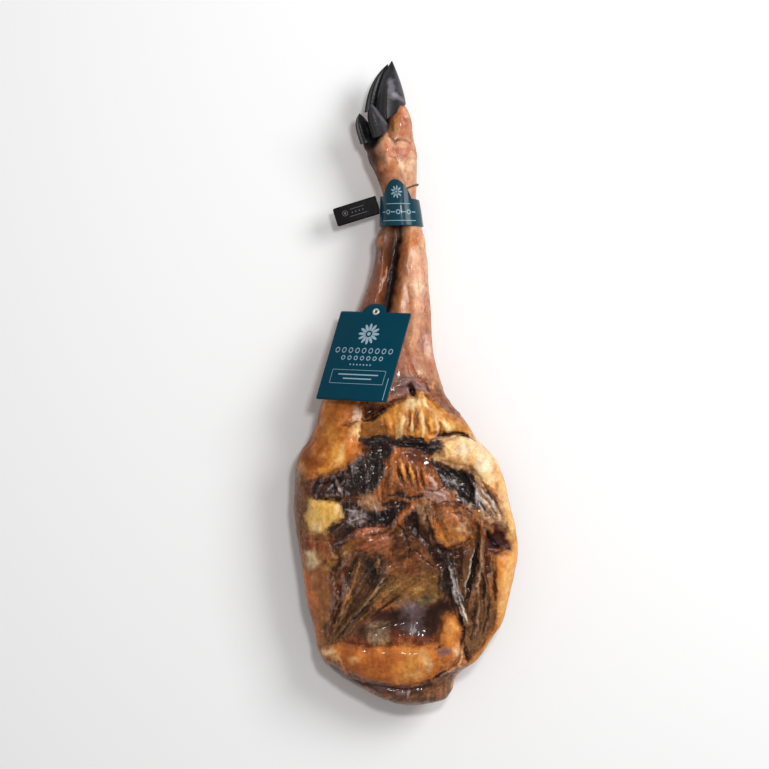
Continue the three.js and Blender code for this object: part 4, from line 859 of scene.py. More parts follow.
def grid_faces(rows, columns, closed_rows=False, closed_columns=False):
    """Quads over a grid of points stored row by row."""
    row = np.arange(rows if closed_rows else rows - 1)
    column = np.arange(columns if closed_columns else columns - 1)
    row, column = (part.ravel() for part in np.meshgrid(row, column, indexing="ij"))
    next_row = (row + 1) % rows
    next_column = (column + 1) % columns
    corners = [(row, column), (row, next_column), (next_row, next_column), (next_row, column)]
    return np.stack([r * columns + c for r, c in corners], axis=1)


def piece_from(name, points, faces, smooth=True):
    """A mesh object from points in millimetres and faces."""
    mesh = bpy.data.meshes.new(name)
    faces = [list(map(int, face)) for face in faces]
    mesh.from_pydata((np.asarray(points) * MM).tolist(), [], faces)
    mesh.validate()
    if smooth:
        mesh.shade_smooth()
    piece = bpy.data.objects.new(name, mesh)
    bpy.context.scene.collection.objects.link(piece)
    return piece


def joined_grids(grids):
    """Points and faces of several (points, faces) as one."""
    starts = np.cumsum([0] + [len(points) for points, _ in grids])
    points = np.vstack([points for points, _ in grids])
    faces = [face + start for (_, faces), start in zip(grids, starts) for face in np.array(faces)]
    return points, faces


def add_modifier(piece, kind, **settings):
    """A modifier with its settings."""
    modifier = piece.modifiers.new(kind.title(), kind)
    for key, value in settings.items():
        setattr(modifier, key, value)


def bake_modifiers(piece):
    """Replaces a piece's mesh by its modified mesh."""
    evaluated = piece.evaluated_get(bpy.context.evaluated_depsgraph_get())
    mesh = bpy.data.meshes.new_from_object(evaluated)
    old = piece.data
    piece.modifiers.clear()
    piece.data = mesh
    bpy.data.meshes.remove(old)


def mesh_array(items, key, width, kind=float):
    """One row of numbers for each vertex, normal or edge of a mesh."""
    values = np.empty(len(items) * width, kind)
    items.foreach_get(key, values)
    return values.reshape(-1, width)


def mesh_points(mesh):
    """The vertices, in millimetres."""
    return mesh_array(mesh.vertices, "co", 3) / MM


def mesh_normals(mesh):
    """The direction out of the surface at each vertex."""
    return mesh_array(mesh.vertex_normals, "vector", 3)


def mesh_edges(mesh):
    """The two ends of each edge."""
    return mesh_array(mesh.edges, "vertices", 2, int)


def move_points(mesh, points):
    """Sets the vertices, in millimetres."""
    mesh.vertices.foreach_set("co", (points * MM).ravel())
    mesh.update()


def store_values(mesh, name, values):
    """Stores one number, or one colour, for each vertex."""
    values = np.asarray(values, float)
    if values.ndim == 1:
        mesh.attributes.new(name, "FLOAT", "POINT").data.foreach_set("value", values)
    else:
        values = np.c_[values, np.ones(len(values))]
        mesh.attributes.new(name, "FLOAT_COLOR", "POINT").data.foreach_set("color", values.ravel())


def finish_piece(piece, slot, material, *nodes):
    """Gives a piece its material, and sets it on the body in place of its nodes. Its slot is not
    used.
    """
    piece.data.materials.clear()
    piece.data.materials.append(material)
    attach(piece, "root")
    if nodes:
        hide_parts(*nodes)


# Node trees. An input is given either the socket that feeds it or its plain value.

NUMBER = "NodeSocketFloat"
COLOUR = "NodeSocketColor"
VECTOR = "NodeSocketVector"


def set_inputs(tree, node, inputs):
    """Links each named input to the socket that feeds it, or sets its plain value."""
    for key, source in inputs.items():
        if isinstance(source, bpy.types.NodeSocket):
            tree.links.new(source, node.inputs[key])
        else:
            node.inputs[key].default_value = source


def add_node(tree, kind, inputs, **settings):
    """A node with its settings and inputs."""
    node = tree.nodes.new(kind)
    for key, value in settings.items():
        setattr(node, key, value)
    set_inputs(tree, node, inputs)
    return node


def calculate(tree, operation, first, second, clamp=False):
    """A sum, product or the like of two inputs."""
    inputs = {0: first, 1: second}
    return add_node(tree, "ShaderNodeMath", inputs, operation=operation, use_clamp=clamp).outputs[0]


def mix_colours(tree, share, first, second, blend="MIX"):
    """The first colour, going over into the second."""
    node = add_node(tree, "ShaderNodeMix", {}, data_type="RGBA", blend_type=blend)
    set_inputs(tree, node, {0: share, 6: first, 7: second})
    return node.outputs[2]


def remap(tree, value, low, high, new_low, new_high):
    """The value carried from one range into another, and held at its ends."""
    inputs = {"Value": value, "From Min": low, "From Max": high, "To Min": new_low,
              "To Max": new_high}
    return add_node(tree, "ShaderNodeMapRange", inputs).outputs["Result"]


def object_place(tree):
    """The place of each point on its piece, in metres."""
    return add_node(tree, "ShaderNodeTexCoord", {}).outputs["Object"]


def noise_texture(tree, place, scale, detail, roughness=0.5, distortion=0.0):
    """Layered noise about 0.5."""
    inputs = {"Vector": place, "Scale": scale, "Detail": detail, "Roughness": roughness,
              "Distortion": distortion}
    return add_node(tree, "ShaderNodeTexNoise", inputs).outputs["Fac"]


def point_values(tree, name, output="Fac"):
    """What a mesh stores for each vertex under a name."""
    return add_node(tree, "ShaderNodeAttribute", {}, attribute_name=name).outputs[output]


MOTTLE_DARK = (0.42, 0.34, 0.3, 1)
MOTTLE_LIGHT = (0.86, 0.82, 0.74, 1)
SCRATCH_TURN = (0.3, 0.2, 0.8)
SCRATCH_SCALE = (900.0, 60.0, 60.0)


def fill_mottle(group, given):
    """Blotches and fine specks over a colour, with a height that follows them."""
    place = add_node(group, "ShaderNodeVectorMath", {0: object_place(group), 1: given["Stretch"]},
                     operation="MULTIPLY").outputs[0]
    blotch = noise_texture(group, place, given["Blotch Scale"], 4.0, 0.6)
    speck = noise_texture(group, place, given["Speck Scale"], 3.0, 0.65)
    both = calculate(group, "ADD", blotch, speck)
    dark = mix_colours(group, 1.0, given["Colour"], MOTTLE_DARK, "MULTIPLY")
    light = mix_colours(group, 1.0, given["Colour"], MOTTLE_LIGHT, "OVERLAY")
    low = calculate(group, "MULTIPLY", remap(group, both, 0.98, 0.72, 0.0, 1.0), given["Amount"])
    high = calculate(group, "MULTIPLY", remap(group, both, 1.04, 1.3, 0.0, 1.0), given["Amount"])
    darkened = mix_colours(group, low, given["Colour"], dark)
    return {"Colour": mix_colours(group, high, darkened, light), "Height": both}


def fill_handling_marks(group, given):
    """Faint rubs and scratches of a handled surface: a roughness and a height."""
    place = object_place(group)
    rubs = noise_texture(group, place, given["Rub Scale"], 5.0, 0.7)
    inputs = {"Vector": place, "Rotation": SCRATCH_TURN, "Scale": SCRATCH_SCALE}
    streaked = add_node(group, "ShaderNodeMapping", inputs).outputs[0]
    both = calculate(group, "ADD", rubs, noise_texture(group, streaked, 1.0, 2.0))
    swing = calculate(group, "MULTIPLY", remap(group, both, 0.7, 1.3, -1.0, 1.0), given["Amount"])
    return {"Roughness": calculate(group, "ADD", given["Roughness"], swing), "Height": both}


def fill_dried_ridges(group, given):
    """Sharp little ridges and pits: a height from 0 to 1."""
    noise = noise_texture(group, object_place(group), given["Scale"], 3.0, 0.6, 0.6)
    folded = calculate(group, "PINGPONG", noise, 0.5)
    ridge = remap(group, folded, 0.3, 0.5, 0.0, 1.0)
    return {"Height": calculate(group, "MULTIPLY", ridge, given["Amount"]),
            "Roughness Shift": remap(group, noise, 0.35, 0.65, 0.1, -0.1)}


# Node groups that materials share: inputs with their defaults, outputs, and what fills them.
GROUPS = {
    "Mottle": (
        [("Colour", COLOUR, (0.5, 0.5, 0.5, 1)), ("Blotch Scale", NUMBER, 60.0),
         ("Speck Scale", NUMBER, 500.0), ("Amount", NUMBER, 0.5),
         ("Stretch", VECTOR, (1.0, 1.0, 1.0))],
        [("Colour", COLOUR), ("Height", NUMBER)], fill_mottle),
    "Handling Marks": (
        [("Roughness", NUMBER, 0.3), ("Amount", NUMBER, 0.1), ("Rub Scale", NUMBER, 40.0)],
        [("Roughness", NUMBER), ("Height", NUMBER)], fill_handling_marks),
    "Dried Ridges": (
        [("Scale", NUMBER, 400.0), ("Amount", NUMBER, 1.0)],
        [("Height", NUMBER), ("Roughness Shift", NUMBER)], fill_dried_ridges),
}


def shared_group(name):
    """A node group of the table, built the first time that it is asked for."""
    if name in bpy.data.node_groups:
        return bpy.data.node_groups[name]
    inputs, outputs, fill = GROUPS[name]
    group = bpy.data.node_groups.new(name, "ShaderNodeTree")
    for label, kind, default in inputs:
        socket = group.interface.new_socket(label, in_out="INPUT", socket_type=kind)
        socket.default_value = default
    for label, kind in outputs:
        group.interface.new_socket(label, in_out="OUTPUT", socket_type=kind)
    given = group.nodes.new("NodeGroupInput").outputs
    set_inputs(group, group.nodes.new("NodeGroupOutput"), fill(group, given))
    return group


def place_group(tree, name, inputs):
    """A shared group in a material, with the material's own values."""
    return add_node(tree, "ShaderNodeGroup", inputs, node_tree=shared_group(name)).outputs


def new_material(name):
    """A material with an empty tree but for its output and its surface shader."""
    material = bpy.data.materials.new(name)
    material.use_nodes = True
    tree = material.node_tree
    tree.nodes.clear()
    surface = tree.nodes.new("ShaderNodeBsdfPrincipled")
    add_node(tree, "ShaderNodeOutputMaterial", {"Surface": surface.outputs[0]})
    return material, tree, surface


def add_bumps(tree, surface, *bumps):
    """Feeds heights into the surface's normal, each with its strength and its depth in metres."""
    normal = {}
    for height, strength, distance in bumps:
        inputs = {"Height": height, "Strength": strength, "Distance": distance, **normal}
        normal = {"Normal": add_node(tree, "ShaderNodeBump", inputs).outputs[0]}
    set_inputs(tree, surface, normal)


# Materials.

# Pale grey of the horn's streaks and of the highlights painted on it.
RUBBED_AND_LIT_HORN = shade(160, 156, 168)
TWINE_BROWN = shade(104, 72, 50)
PLATE_WHITE = shade(232, 232, 230)


def cured_meat_material():
    """Fat, lean and skin, coloured by the painted points and broken up by fine grain."""
    material, tree, surface = new_material("Cured Meat")
    wet = point_values(tree, "wet")
    craggy = point_values(tree, "craggy")
    mottle = place_group(tree, "Mottle", {
        "Colour": point_values(tree, "tint", "Color"), "Blotch Scale": 210.0, "Speck Scale": 900.0,
        "Amount": remap(tree, craggy, 0.0, 1.0, 0.5, 0.95)})
    ridges = place_group(tree, "Dried Ridges", {
        "Scale": 330.0, "Amount": remap(tree, craggy, 0.0, 1.0, 0.2, 1.1)})
    sheen = remap(tree, wet, 0.0, 1.0, 0.48, 0.26)
    set_inputs(tree, surface, {
        "Base Color": mottle["Colour"],
        "Roughness": calculate(tree, "ADD", sheen, ridges["Roughness Shift"], clamp=True),
        "Coat Weight": remap(tree, wet, DRY, WET, 0.1, 0.5), "Coat Roughness": 0.09,
        "Specular IOR Level": 0.1})
    add_bumps(tree, surface, (ridges["Height"], 0.8, 0.0013), (mottle["Height"], 0.5, 0.0009))
    return material


def horn_material(dark):
    """Black satin horn with pale patches, partly rubbed and partly painted highlights."""
    material, tree, surface = new_material("Black Horn")
    base = mix_colours(tree, point_values(tree, "wear_and_highlight"), (*dark, 1), (*RUBBED_AND_LIT_HORN, 1))
    mottle = place_group(tree, "Mottle", {
        "Colour": base, "Blotch Scale": 70.0, "Speck Scale": 700.0, "Amount": 0.3})
    marks = place_group(tree, "Handling Marks", {
        "Roughness": 0.34, "Amount": 0.07, "Rub Scale": 120.0})
    set_inputs(tree, surface, {
        "Base Color": mottle["Colour"], "Roughness": marks["Roughness"],
        "Specular IOR Level": 0.32})
    add_bumps(tree, surface, (mottle["Height"], 0.12, 0.0005))
    return material


def printed_material(name, colour, roughness, coat=0.0, rub=0.05):
    """Smooth printed stock with faint handling marks."""
    material, tree, surface = new_material(name)
    mottle = place_group(tree, "Mottle", {
        "Colour": (*colour, 1), "Blotch Scale": 25.0, "Speck Scale": 1500.0, "Amount": 0.12})
    marks = place_group(tree, "Handling Marks", {
        "Roughness": roughness, "Amount": rub, "Rub Scale": 50.0})
    set_inputs(tree, surface, {
        "Base Color": mottle["Colour"], "Roughness": marks["Roughness"], "Coat Weight": coat,
        "Coat Roughness": 0.1, "Specular IOR Level": 0.08})
    add_bumps(tree, surface, (marks["Height"], 0.06, 0.0004))
    return material


def twine_material():
    """Dull brown twine."""
    material, tree, surface = new_material("Brown Twine")
    mottle = place_group(tree, "Mottle", {
        "Colour": (*TWINE_BROWN, 1), "Blotch Scale": 400.0, "Speck Scale": 2500.0, "Amount": 0.7})
    set_inputs(tree, surface, {"Base Color": mottle["Colour"], "Roughness": 0.8})
    add_bumps(tree, surface, (mottle["Height"], 0.5, 0.0003))
    return material


def eyelet_material():
    """Bright plated metal."""
    material, tree, surface = new_material("Plated Eyelet")
    marks = place_group(tree, "Handling Marks", {
        "Roughness": 0.28, "Amount": 0.1, "Rub Scale": 400.0})
    set_inputs(tree, surface, {
        "Base Color": (*PLATE_WHITE, 1), "Metallic": 0.75, "Roughness": marks["Roughness"]})
    add_bumps(tree, surface, (marks["Height"], 0.1, 0.0002))
    return material


# Settings that a user would change.

class HamColours(bpy.types.PropertyGroup):
    """Main colours of the ham and its labels."""
    lean: FloatVectorProperty(
        name="Lean", description="Dark dried lean meat", subtype="COLOR",
        default=shade(*TONES["lean"]))
    fat: FloatVectorProperty(
        name="Fat", description="Amber fat of the lobes", subtype="COLOR",
        default=shade(*TONES["amber"]))
    cream: FloatVectorProperty(
        name="Shoulder Fat", description="Palest fat, on the right shoulder", subtype="COLOR",
        default=shade(*TONES["cream"]))
    rind: FloatVectorProperty(
        name="Rind", description="Cured skin of the underside", subtype="COLOR",
        default=shade(*TONES["rind"]))
    horn: FloatVectorProperty(
        name="Horn", description="Black horn of the claws", subtype="COLOR",
        default=shade(18, 16, 17))
    label: FloatVectorProperty(
        name="Card", description="Dark teal of the hanging card", subtype="COLOR",
        default=shade(0, 59, 76))
    band: FloatVectorProperty(
        name="Band", description="Teal of the wrist band", subtype="COLOR",
        default=shade(14, 58, 72))
    ink: FloatVectorProperty(
        name="Ink", description="Pale silver print", subtype="COLOR",
        default=shade(150, 172, 186))


class HamSizes(bpy.types.PropertyGroup):
    """Sizes of the surface detail and of the studio."""
    lumps: FloatProperty(
        name="Lumps", description="Height of the broad lumps of the meat", default=0.9 * MM, min=0,
        max=3 * MM, unit="LENGTH")
    crags: FloatProperty(
        name="Crags", description="Height of the crags of the dried lean", default=1.1 * MM, min=0,
        max=3 * MM, unit="LENGTH")
    wrinkles: FloatProperty(
        name="Wrinkles", description="Height of the wrinkles of the shank", default=0.8 * MM, min=0,
        max=3 * MM, unit="LENGTH")
    stage_width: FloatProperty(
        name="Stage Width", description="Width of the floor", default=8.0, min=1, unit="LENGTH")
    camera_distance: FloatProperty(
        name="Camera Distance", description="Camera height over the ham", default=3.0, min=1,
        unit="LENGTH")


# The leg. Noises are the size of their features, their seed, and how many layers they have.

BROAD_LUMPS = (26, 3, 2)
SMALL_LUMPS = (10, 7, 2)
BROAD_CRAGS = (9, 13, 2)
FINE_CRAGS = (3.6, 19, 2)
ORANGE_PEEL = (2.6, 51)
CREASES = ((9, 14, 9), 37, 2)
WRINKLES = ((5, 55, 5), 29)
DRIFT = (30, 71)
BREAKS = (7, 77)
BLOTCHES = (9, 43)
GRIT = (2.6, 47, 2)
PORES = (1.8, 83)
WARP_SEEDS = (31, 57)
# Streaks along the grain: their size along, across and below it, seed and noise.
BUNDLES = ((34, 6, 12), 61, grain_noise)
STREAKS = ((15, 2.8, 7), 41, crest_noise)
THREADS = ((9, 1.7, 5), 91, grain_noise)
# Places along the leg between which one kind of surface goes over into the next.
SHANK_SKIN = (178, 205)
FOOT_SKIN = (385, 420)
SKIN_START = (185, 215)
RIND_END = (175, 240)
# Heights over the floor between which the painted face begins, and how far its rim wanders.
FACE_RIM = (34, 50)
FACE_RIM_WANDER = 4
SHANK_RIM = (28, 40)
SHANK_RIM_FROM = 190
# The shank's pores show to the right of this.
PORES_START = (8, 20)
PLAIN_WET = 0.45
RIND_WET = 0.35
# What the patches' soft edges and wandering are multiplied by.
SOFTER_EDGES = 1.5
WIDER_WANDER = 1.4
# Wandering of dabs and strokes, and how much their edges are broken up, as a share of their reach.
DAB_WANDER = 5
DAB_BREAKS = 0.5
STROKE_WANDER = 2.5
STROKE_BREAKS = 0.7
# Shares of the reach between which dabs and strokes fade out, and at which a raised mark ends.
DAB_FADE = (0.25, 1.3)
STROKE_FADE = (0.3, 1.35)
RISE_REACH = 1.6
# A stroke loses this share of its reach over this share of its length at each end.
TAPER_DEPTH = 0.8
TAPER_LENGTH = 0.3
TOE_ROWS = 32
TOE_COLUMNS = 40
# Rounds of smoothing of the foot, and the length over which they fade in.
FOOT_ROUNDS = 6
FOOT_FADE = 20
# Heights over the floor between which the fine relief fades in.
FLOOR_FADE = (0.5, 6)
# Crests and valleys: rounds of smoothing that they are measured from, and their full height.
CLOSE_CREST = (4, 0.22)
WIDE_CREST = (40, 1.1)
DEEP_VALLEY = (160, 3)
# How strongly the painted shade in crevices darkens red, green and blue.
CREVICE_SHADE_TINT = np.array([0.8, 1.1, 1.3])
LEG_KINDS = {"lean": LEAN_TONES, "fat": FAT_TONES}


def edge_warp(points, seed):
    """How far edges wander at each point, from about -1 to 1."""
    return grain_noise(points, 12, seed) + 0.6 * grain_noise(points, 3.6, seed + 2, 2)


class Paint:
    """Colour, wetness, kind of tissue, grain and raised marks of points of the leg."""

    def __init__(self, points):
        settings = bpy.context.scene.ham_colours
        self.points = points
        self.tones = {name: np.array(shade(*values)) for name, values in TONES.items()}
        for name, value in (("lean", settings.lean), ("amber", settings.fat),
                            ("cream", settings.cream), ("rind", settings.rind)):
            self.tones[name] = np.array(value)
        self.x, self.y, self.z = points.T
        self.warp_x, self.warp_y = (edge_warp(points, seed) for seed in WARP_SEEDS)
        self.broad = grain_noise(points, *DRIFT)
        self.broken = grain_noise(points, *BREAKS)
        self.rise = np.zeros(len(points))
        self.kinds = {kind: np.zeros(len(points)) for kind in LEG_KINDS}
        self.grain = np.tile(self.grain_share(90), (len(points), 1))
        self.lay_base()
        for tone, strength, soft, wander, wet, turn, edge in PATCHES:
            soft, wander = SOFTER_EDGES * soft, WIDER_WANDER * wander
            self.lay_patch(tone, strength, soft, wander, wet, turn, edge)
        for tone, strength, x, y, long, wide, turn in DABS:
            self.lay_dab(tone, strength, x, y, long, wide, math.radians(turn))
        for tone, strength, reach, rise, wet, path in STROKES:
            self.lay_stroke(tone, strength, reach, rise, wet, path)
        self.lay_rind()

    def lay_base(self):
        """Plain meat, shank and foot, and which points belong to the painted upper side."""
        self.tint = self.blend("meat", "russet", self.broad)
        self.wet = np.full(len(self.points), PLAIN_WET)
        shank = self.blend("shank skin", "rose brown", -self.broad)
        self.cover(step_between(self.y, *SHANK_SKIN), shank)
        foot = self.blend("foot skin", "foot red", -self.broad - self.broken)
        self.cover(step_between(self.y, *FOOT_SKIN), foot)
        self.face = np.where(self.y > SHANK_RIM_FROM, step_between(self.z, *SHANK_RIM),
                             step_between(self.z + FACE_RIM_WANDER * self.warp_x, *FACE_RIM))

    def lay_rind(self):
        """The cured skin of the underside, and each point's shares of the kinds of tissue."""
        under = (1 - self.face) * (1 - step_between(self.y, *RIND_END))
        self.cover(under, self.blend("rind", "rind dark", self.broad + 0.5 * self.broken))
        self.wet += under * (RIND_WET - self.wet)
        lean = self.kinds["lean"]
        skin = np.maximum(step_between(self.y, *SKIN_START), under) * (1 - lean)
        fat = self.kinds["fat"] * (1 - lean) * (1 - skin)
        meat = np.clip(1 - lean - fat - skin, 0, 1)
        self.shares = {"lean": lean, "fat": fat, "skin": skin, "meat": meat}

    def blend(self, first, second, place):
        """The first tone, going over into the second as the place goes from -0.4 to 0.4."""
        share = as_column(step_between(place, -0.4, 0.4))
        return self.tones[first] + share * (self.tones[second] - self.tones[first])

    def cover(self, share, colour):
        """Mixes a colour, one for all points or one for each, into the tint."""
        self.tint = self.tint + as_column(share) * (colour - self.tint)

    def tone_in(self, tone, share):
        """Mixes a tone of the table into the tint."""
        self.cover(np.clip(share, 0, 1), self.tones[tone])

    def scale(self, factor):
        """Makes the tint darker or lighter."""
        self.tint = self.tint * as_column(factor)

    def on(self, **weights):
        """How much an effect shows at each point, from its weight on each kind of tissue."""
        return sum(weight * self.shares[kind] for kind, weight in weights.items())

    def fibres(self, size, seed, noise):
        """Streaks along the grain, of which each point has its own share of each direction."""
        total = np.zeros(len(self.points))
        for turn, share in zip(GRAIN_TURNS, self.grain.T):
            used = np.flatnonzero(share > 0.02)
            x, y, z = self.points[used].T
            along = np.column_stack([*turned(x, y, -math.radians(turn)), z])
            total[used] += share[used] * noise(along, size, seed + turn, 2)
        return total / np.sqrt((self.grain**2).sum(1))

    @staticmethod
    def grain_share(turn):
        """Which of the worked-out directions is nearest to a turn in degrees."""
        nearest = round(turn / 30) % len(GRAIN_TURNS)
        return np.eye(len(GRAIN_TURNS))[nearest]

    def warped(self, near, amount):
        """Plan coordinates of some points, wandering by an amount in millimetres."""
        return self.x[near] + amount * self.warp_x[near], self.y[near] + amount * self.warp_y[near]

    def lay_tone(self, tone, share, near):
        """Mixes a tone into the tint of some of the points."""
        self.tint[near] += as_column(share) * (self.tones[tone] - self.tint[near])

    def lay(self, tone, share, near, wet):
        """Lays a tone, its wetness and its kind of tissue over some of the points."""
        self.lay_tone(tone, share, near)
        self.wet[near] += share * (wet - self.wet[near])
        for kind, members in LEG_KINDS.items():
            self.kinds[kind][near] += share * ((tone in members) - self.kinds[kind][near])

    def lay_patch(self, tone, strength, soft, wander, wet, turn, edge):
        """Lays a tone inside an edge, with its grain."""
        near = points_near(self.x, self.y, edge, soft + 2 * wander)
        inside = step_between(edge_distance(*self.warped(near, wander), edge), -soft / 2, soft / 2)
        share = strength * inside * self.face[near]
        self.lay(tone, share, near, wet)
        self.grain[near] += as_column(share) * (self.grain_share(turn) - self.grain[near])

    def lay_dab(self, tone, strength, x, y, long, wide, turn):
        """Lays a tone on an oval spot, as colour only."""
        near = points_near(self.x, self.y, [(x, y), (x, y)], 1.4 * max(long, wide) + 4)
        u, v = self.warped(near, DAB_WANDER)
        u, v = turned(u - x, v - y, -turn)
        reach = np.hypot(u / long, v / wide) + DAB_BREAKS * self.broken[near]
        share = strength * (1 - step_between(reach, *DAB_FADE)) * self.face[near]
        self.lay_tone(tone, share, near)

    def lay_stroke(self, tone, strength, reach, rise, wet, path):
        """Lays a tone along a path that tapers at both ends, and raises or sinks it."""
        near = points_near(self.x, self.y, path, 2 * reach + 3)
        x, y = self.warped(near, STROKE_WANDER)
        length = sum(math.dist(a, b) for a, b in zip(path, path[1:]))
        to_end = np.minimum(*(np.hypot(x - end[0], y - end[1]) for end in (path[0], path[-1])))
        taper = TAPER_DEPTH * reach * np.clip(1 - to_end / (TAPER_LENGTH * length), 0, 1)
        away = path_distance(x, y, path) + taper + STROKE_BREAKS * reach * self.broken[near]
        share = strength * (1 - step_between(away / reach, *STROKE_FADE)) * self.face[near]
        self.lay(tone, share, near, wet)
        q = np.clip(away / (RISE_REACH * reach), 0, 1)
        self.rise[near] += rise * (1 - q * q) ** 2 * self.face[near]


def smoothed(values, edges, rounds):
    """Values averaged with their neighbours along the edges, several times over."""
    here, there = np.concatenate([edges, edges[:, ::-1]]).T
    count = as_column(np.bincount(here, minlength=len(values)))
    for _ in range(rounds):
        near = [np.bincount(here, column[there], len(values)) for column in values.T]
        values = np.stack(near, axis=1) / count
    return values


def toe_grid(centre, radii, plan_turn, spin):
    """A smooth lobe of the foot, as points and faces."""
    polar, azimuth = np.meshgrid(np.linspace(0, np.pi, TOE_ROWS),
                                 np.linspace(0, 2 * np.pi, TOE_COLUMNS, False), indexing="ij")
    x = radii[0] * (np.sin(polar) * np.cos(azimuth)).ravel()
    y = radii[1] * np.cos(polar).ravel()
    z = radii[2] * (np.sin(polar) * np.sin(azimuth)).ravel()
    x, z = turned(x, z, -math.radians(spin))
    x, y = turned(x, y, math.radians(plan_turn))
    faces = grid_faces(TOE_ROWS, TOE_COLUMNS, closed_columns=True)
    return np.stack([x, y, z], axis=1) + centre, faces


def leg_detail(paint, sizes):
    """Height of the fine relief, in millimetres, at points of the leg."""
    points = paint.points
    lumps = grain_noise(points, *BROAD_LUMPS) + 0.6 * grain_noise(points, *SMALL_LUMPS)
    crags = 0.7 * crest_noise(points, *BROAD_CRAGS) + 0.5 * crest_noise(points, *FINE_CRAGS)
    wrinkles = grain_noise(points, *WRINKLES) + 0.4 * crest_noise(points, *CREASES)
    height = sizes.lumps / MM * lumps * (1 - 0.5 * paint.shares["skin"])
    height += sizes.crags / MM * crags * paint.on(lean=1, meat=0.45, fat=0.1)
    height += paint.fibres(*BUNDLES) * paint.on(lean=2.2, meat=0.9, fat=0.5)
    height += paint.fibres(*STREAKS) * paint.on(lean=0.75, meat=0.25, fat=0.03)
    height += soft_noise(points, *ORANGE_PEEL) * paint.on(meat=0.2, fat=0.14)
    on_skin = np.where(paint.y > SHANK_STARTS_AT, 0.6, 0.3)
    return height + sizes.wrinkles / MM * wrinkles * paint.on(skin=on_skin) + paint.rise


def leg_surface():
    """Points and faces of the leg without its toes, closest on the cut face."""
    rows = BODY_STATIONS * ROWS_PER_BODY_STATION
    shank_rows = (len(STATIONS) - 1 - BODY_STATIONS) * ROWS_PER_SHANK_STATION
    body_along = np.arange(rows) / ROWS_PER_BODY_STATION
    shank_along = BODY_STATIONS + np.arange(shank_rows + 1) / ROWS_PER_SHANK_STATION
    along = np.concatenate([body_along, shank_along]) / (len(STATIONS) - 1)
    over = np.linspace(0, 0.5, TOP_COLUMNS, endpoint=False)
    under = np.linspace(0.5, 1, UNDER_COLUMNS, endpoint=False)
    around = np.concatenate([over, under])
    points = leg_points(np.repeat(along, len(around)), np.tile(around, len(along)))
    return points, grid_faces(len(along), len(around), closed_columns=True)


def carve(mesh, sizes):
    """Softens the joints of the foot, then adds the fine relief along the normals."""
    points = mesh_points(mesh)
    softness = step_between(points[:, 1], FOOT_STARTS_AT, FOOT_STARTS_AT + FOOT_FADE)
    points += as_column(softness) * (smoothed(points, mesh_edges(mesh), FOOT_ROUNDS) - points)
    move_points(mesh, points)
    over_floor = step_between(points[:, 2], *FLOOR_FADE)
    detail = leg_detail(Paint(points), sizes)
    points += mesh_normals(mesh) * as_column(detail * over_floor)
    points[:, 2] = np.maximum(points[:, 2], 0)
    move_points(mesh, points)


def build_leg(sizes):
    """The whole leg with its colours, as one closed piece."""
    toes = [toe_grid(np.array(centre), *shape) for _, centre, *shape in TOES]
    piece = piece_from("ham_leg", *joined_grids([leg_surface()] + toes))
    add_modifier(piece, "WELD", merge_threshold=0.01 * MM)
    add_modifier(piece, "REMESH", mode="VOXEL", voxel_size=VOXEL * MM, use_smooth_shade=True)
    bake_modifiers(piece)
    carve(piece.data, sizes)
    triangles = sum(len(face.vertices) - 2 for face in piece.data.polygons)
    add_modifier(piece, "DECIMATE", ratio=LEG_TRIANGLES / triangles)
    bake_modifiers(piece)
    mesh = piece.data
    mesh.shade_smooth()
    paint = Paint(mesh_points(mesh))
    weather(paint, mesh_normals(mesh), mesh_edges(mesh))
    store_values(mesh, "tint", np.clip(paint.tint, 0.001, 1))
    store_values(mesh, "wet", np.clip(paint.wet, 0, 1))
    store_values(mesh, "craggy", np.clip(paint.on(lean=1, meat=0.8), 0, 1))
    return piece


def crest_and_valley(points, normals, edges):
    """How far points stand on crests, from -1 to 1, and how deep in broad valleys, from 0 to 1."""
    def heights(start, rounds, full):
        soft = smoothed(start, edges, rounds)
        return soft, np.clip(((points - soft) * normals).sum(1) / full, -1, 1)

    _, close = heights(points, *CLOSE_CREST)
    soft, wide = heights(points, *WIDE_CREST)
    _, broad = heights(soft, *DEEP_VALLEY)
    return 0.5 * close + 0.5 * wide, np.clip(-broad, 0, 1)


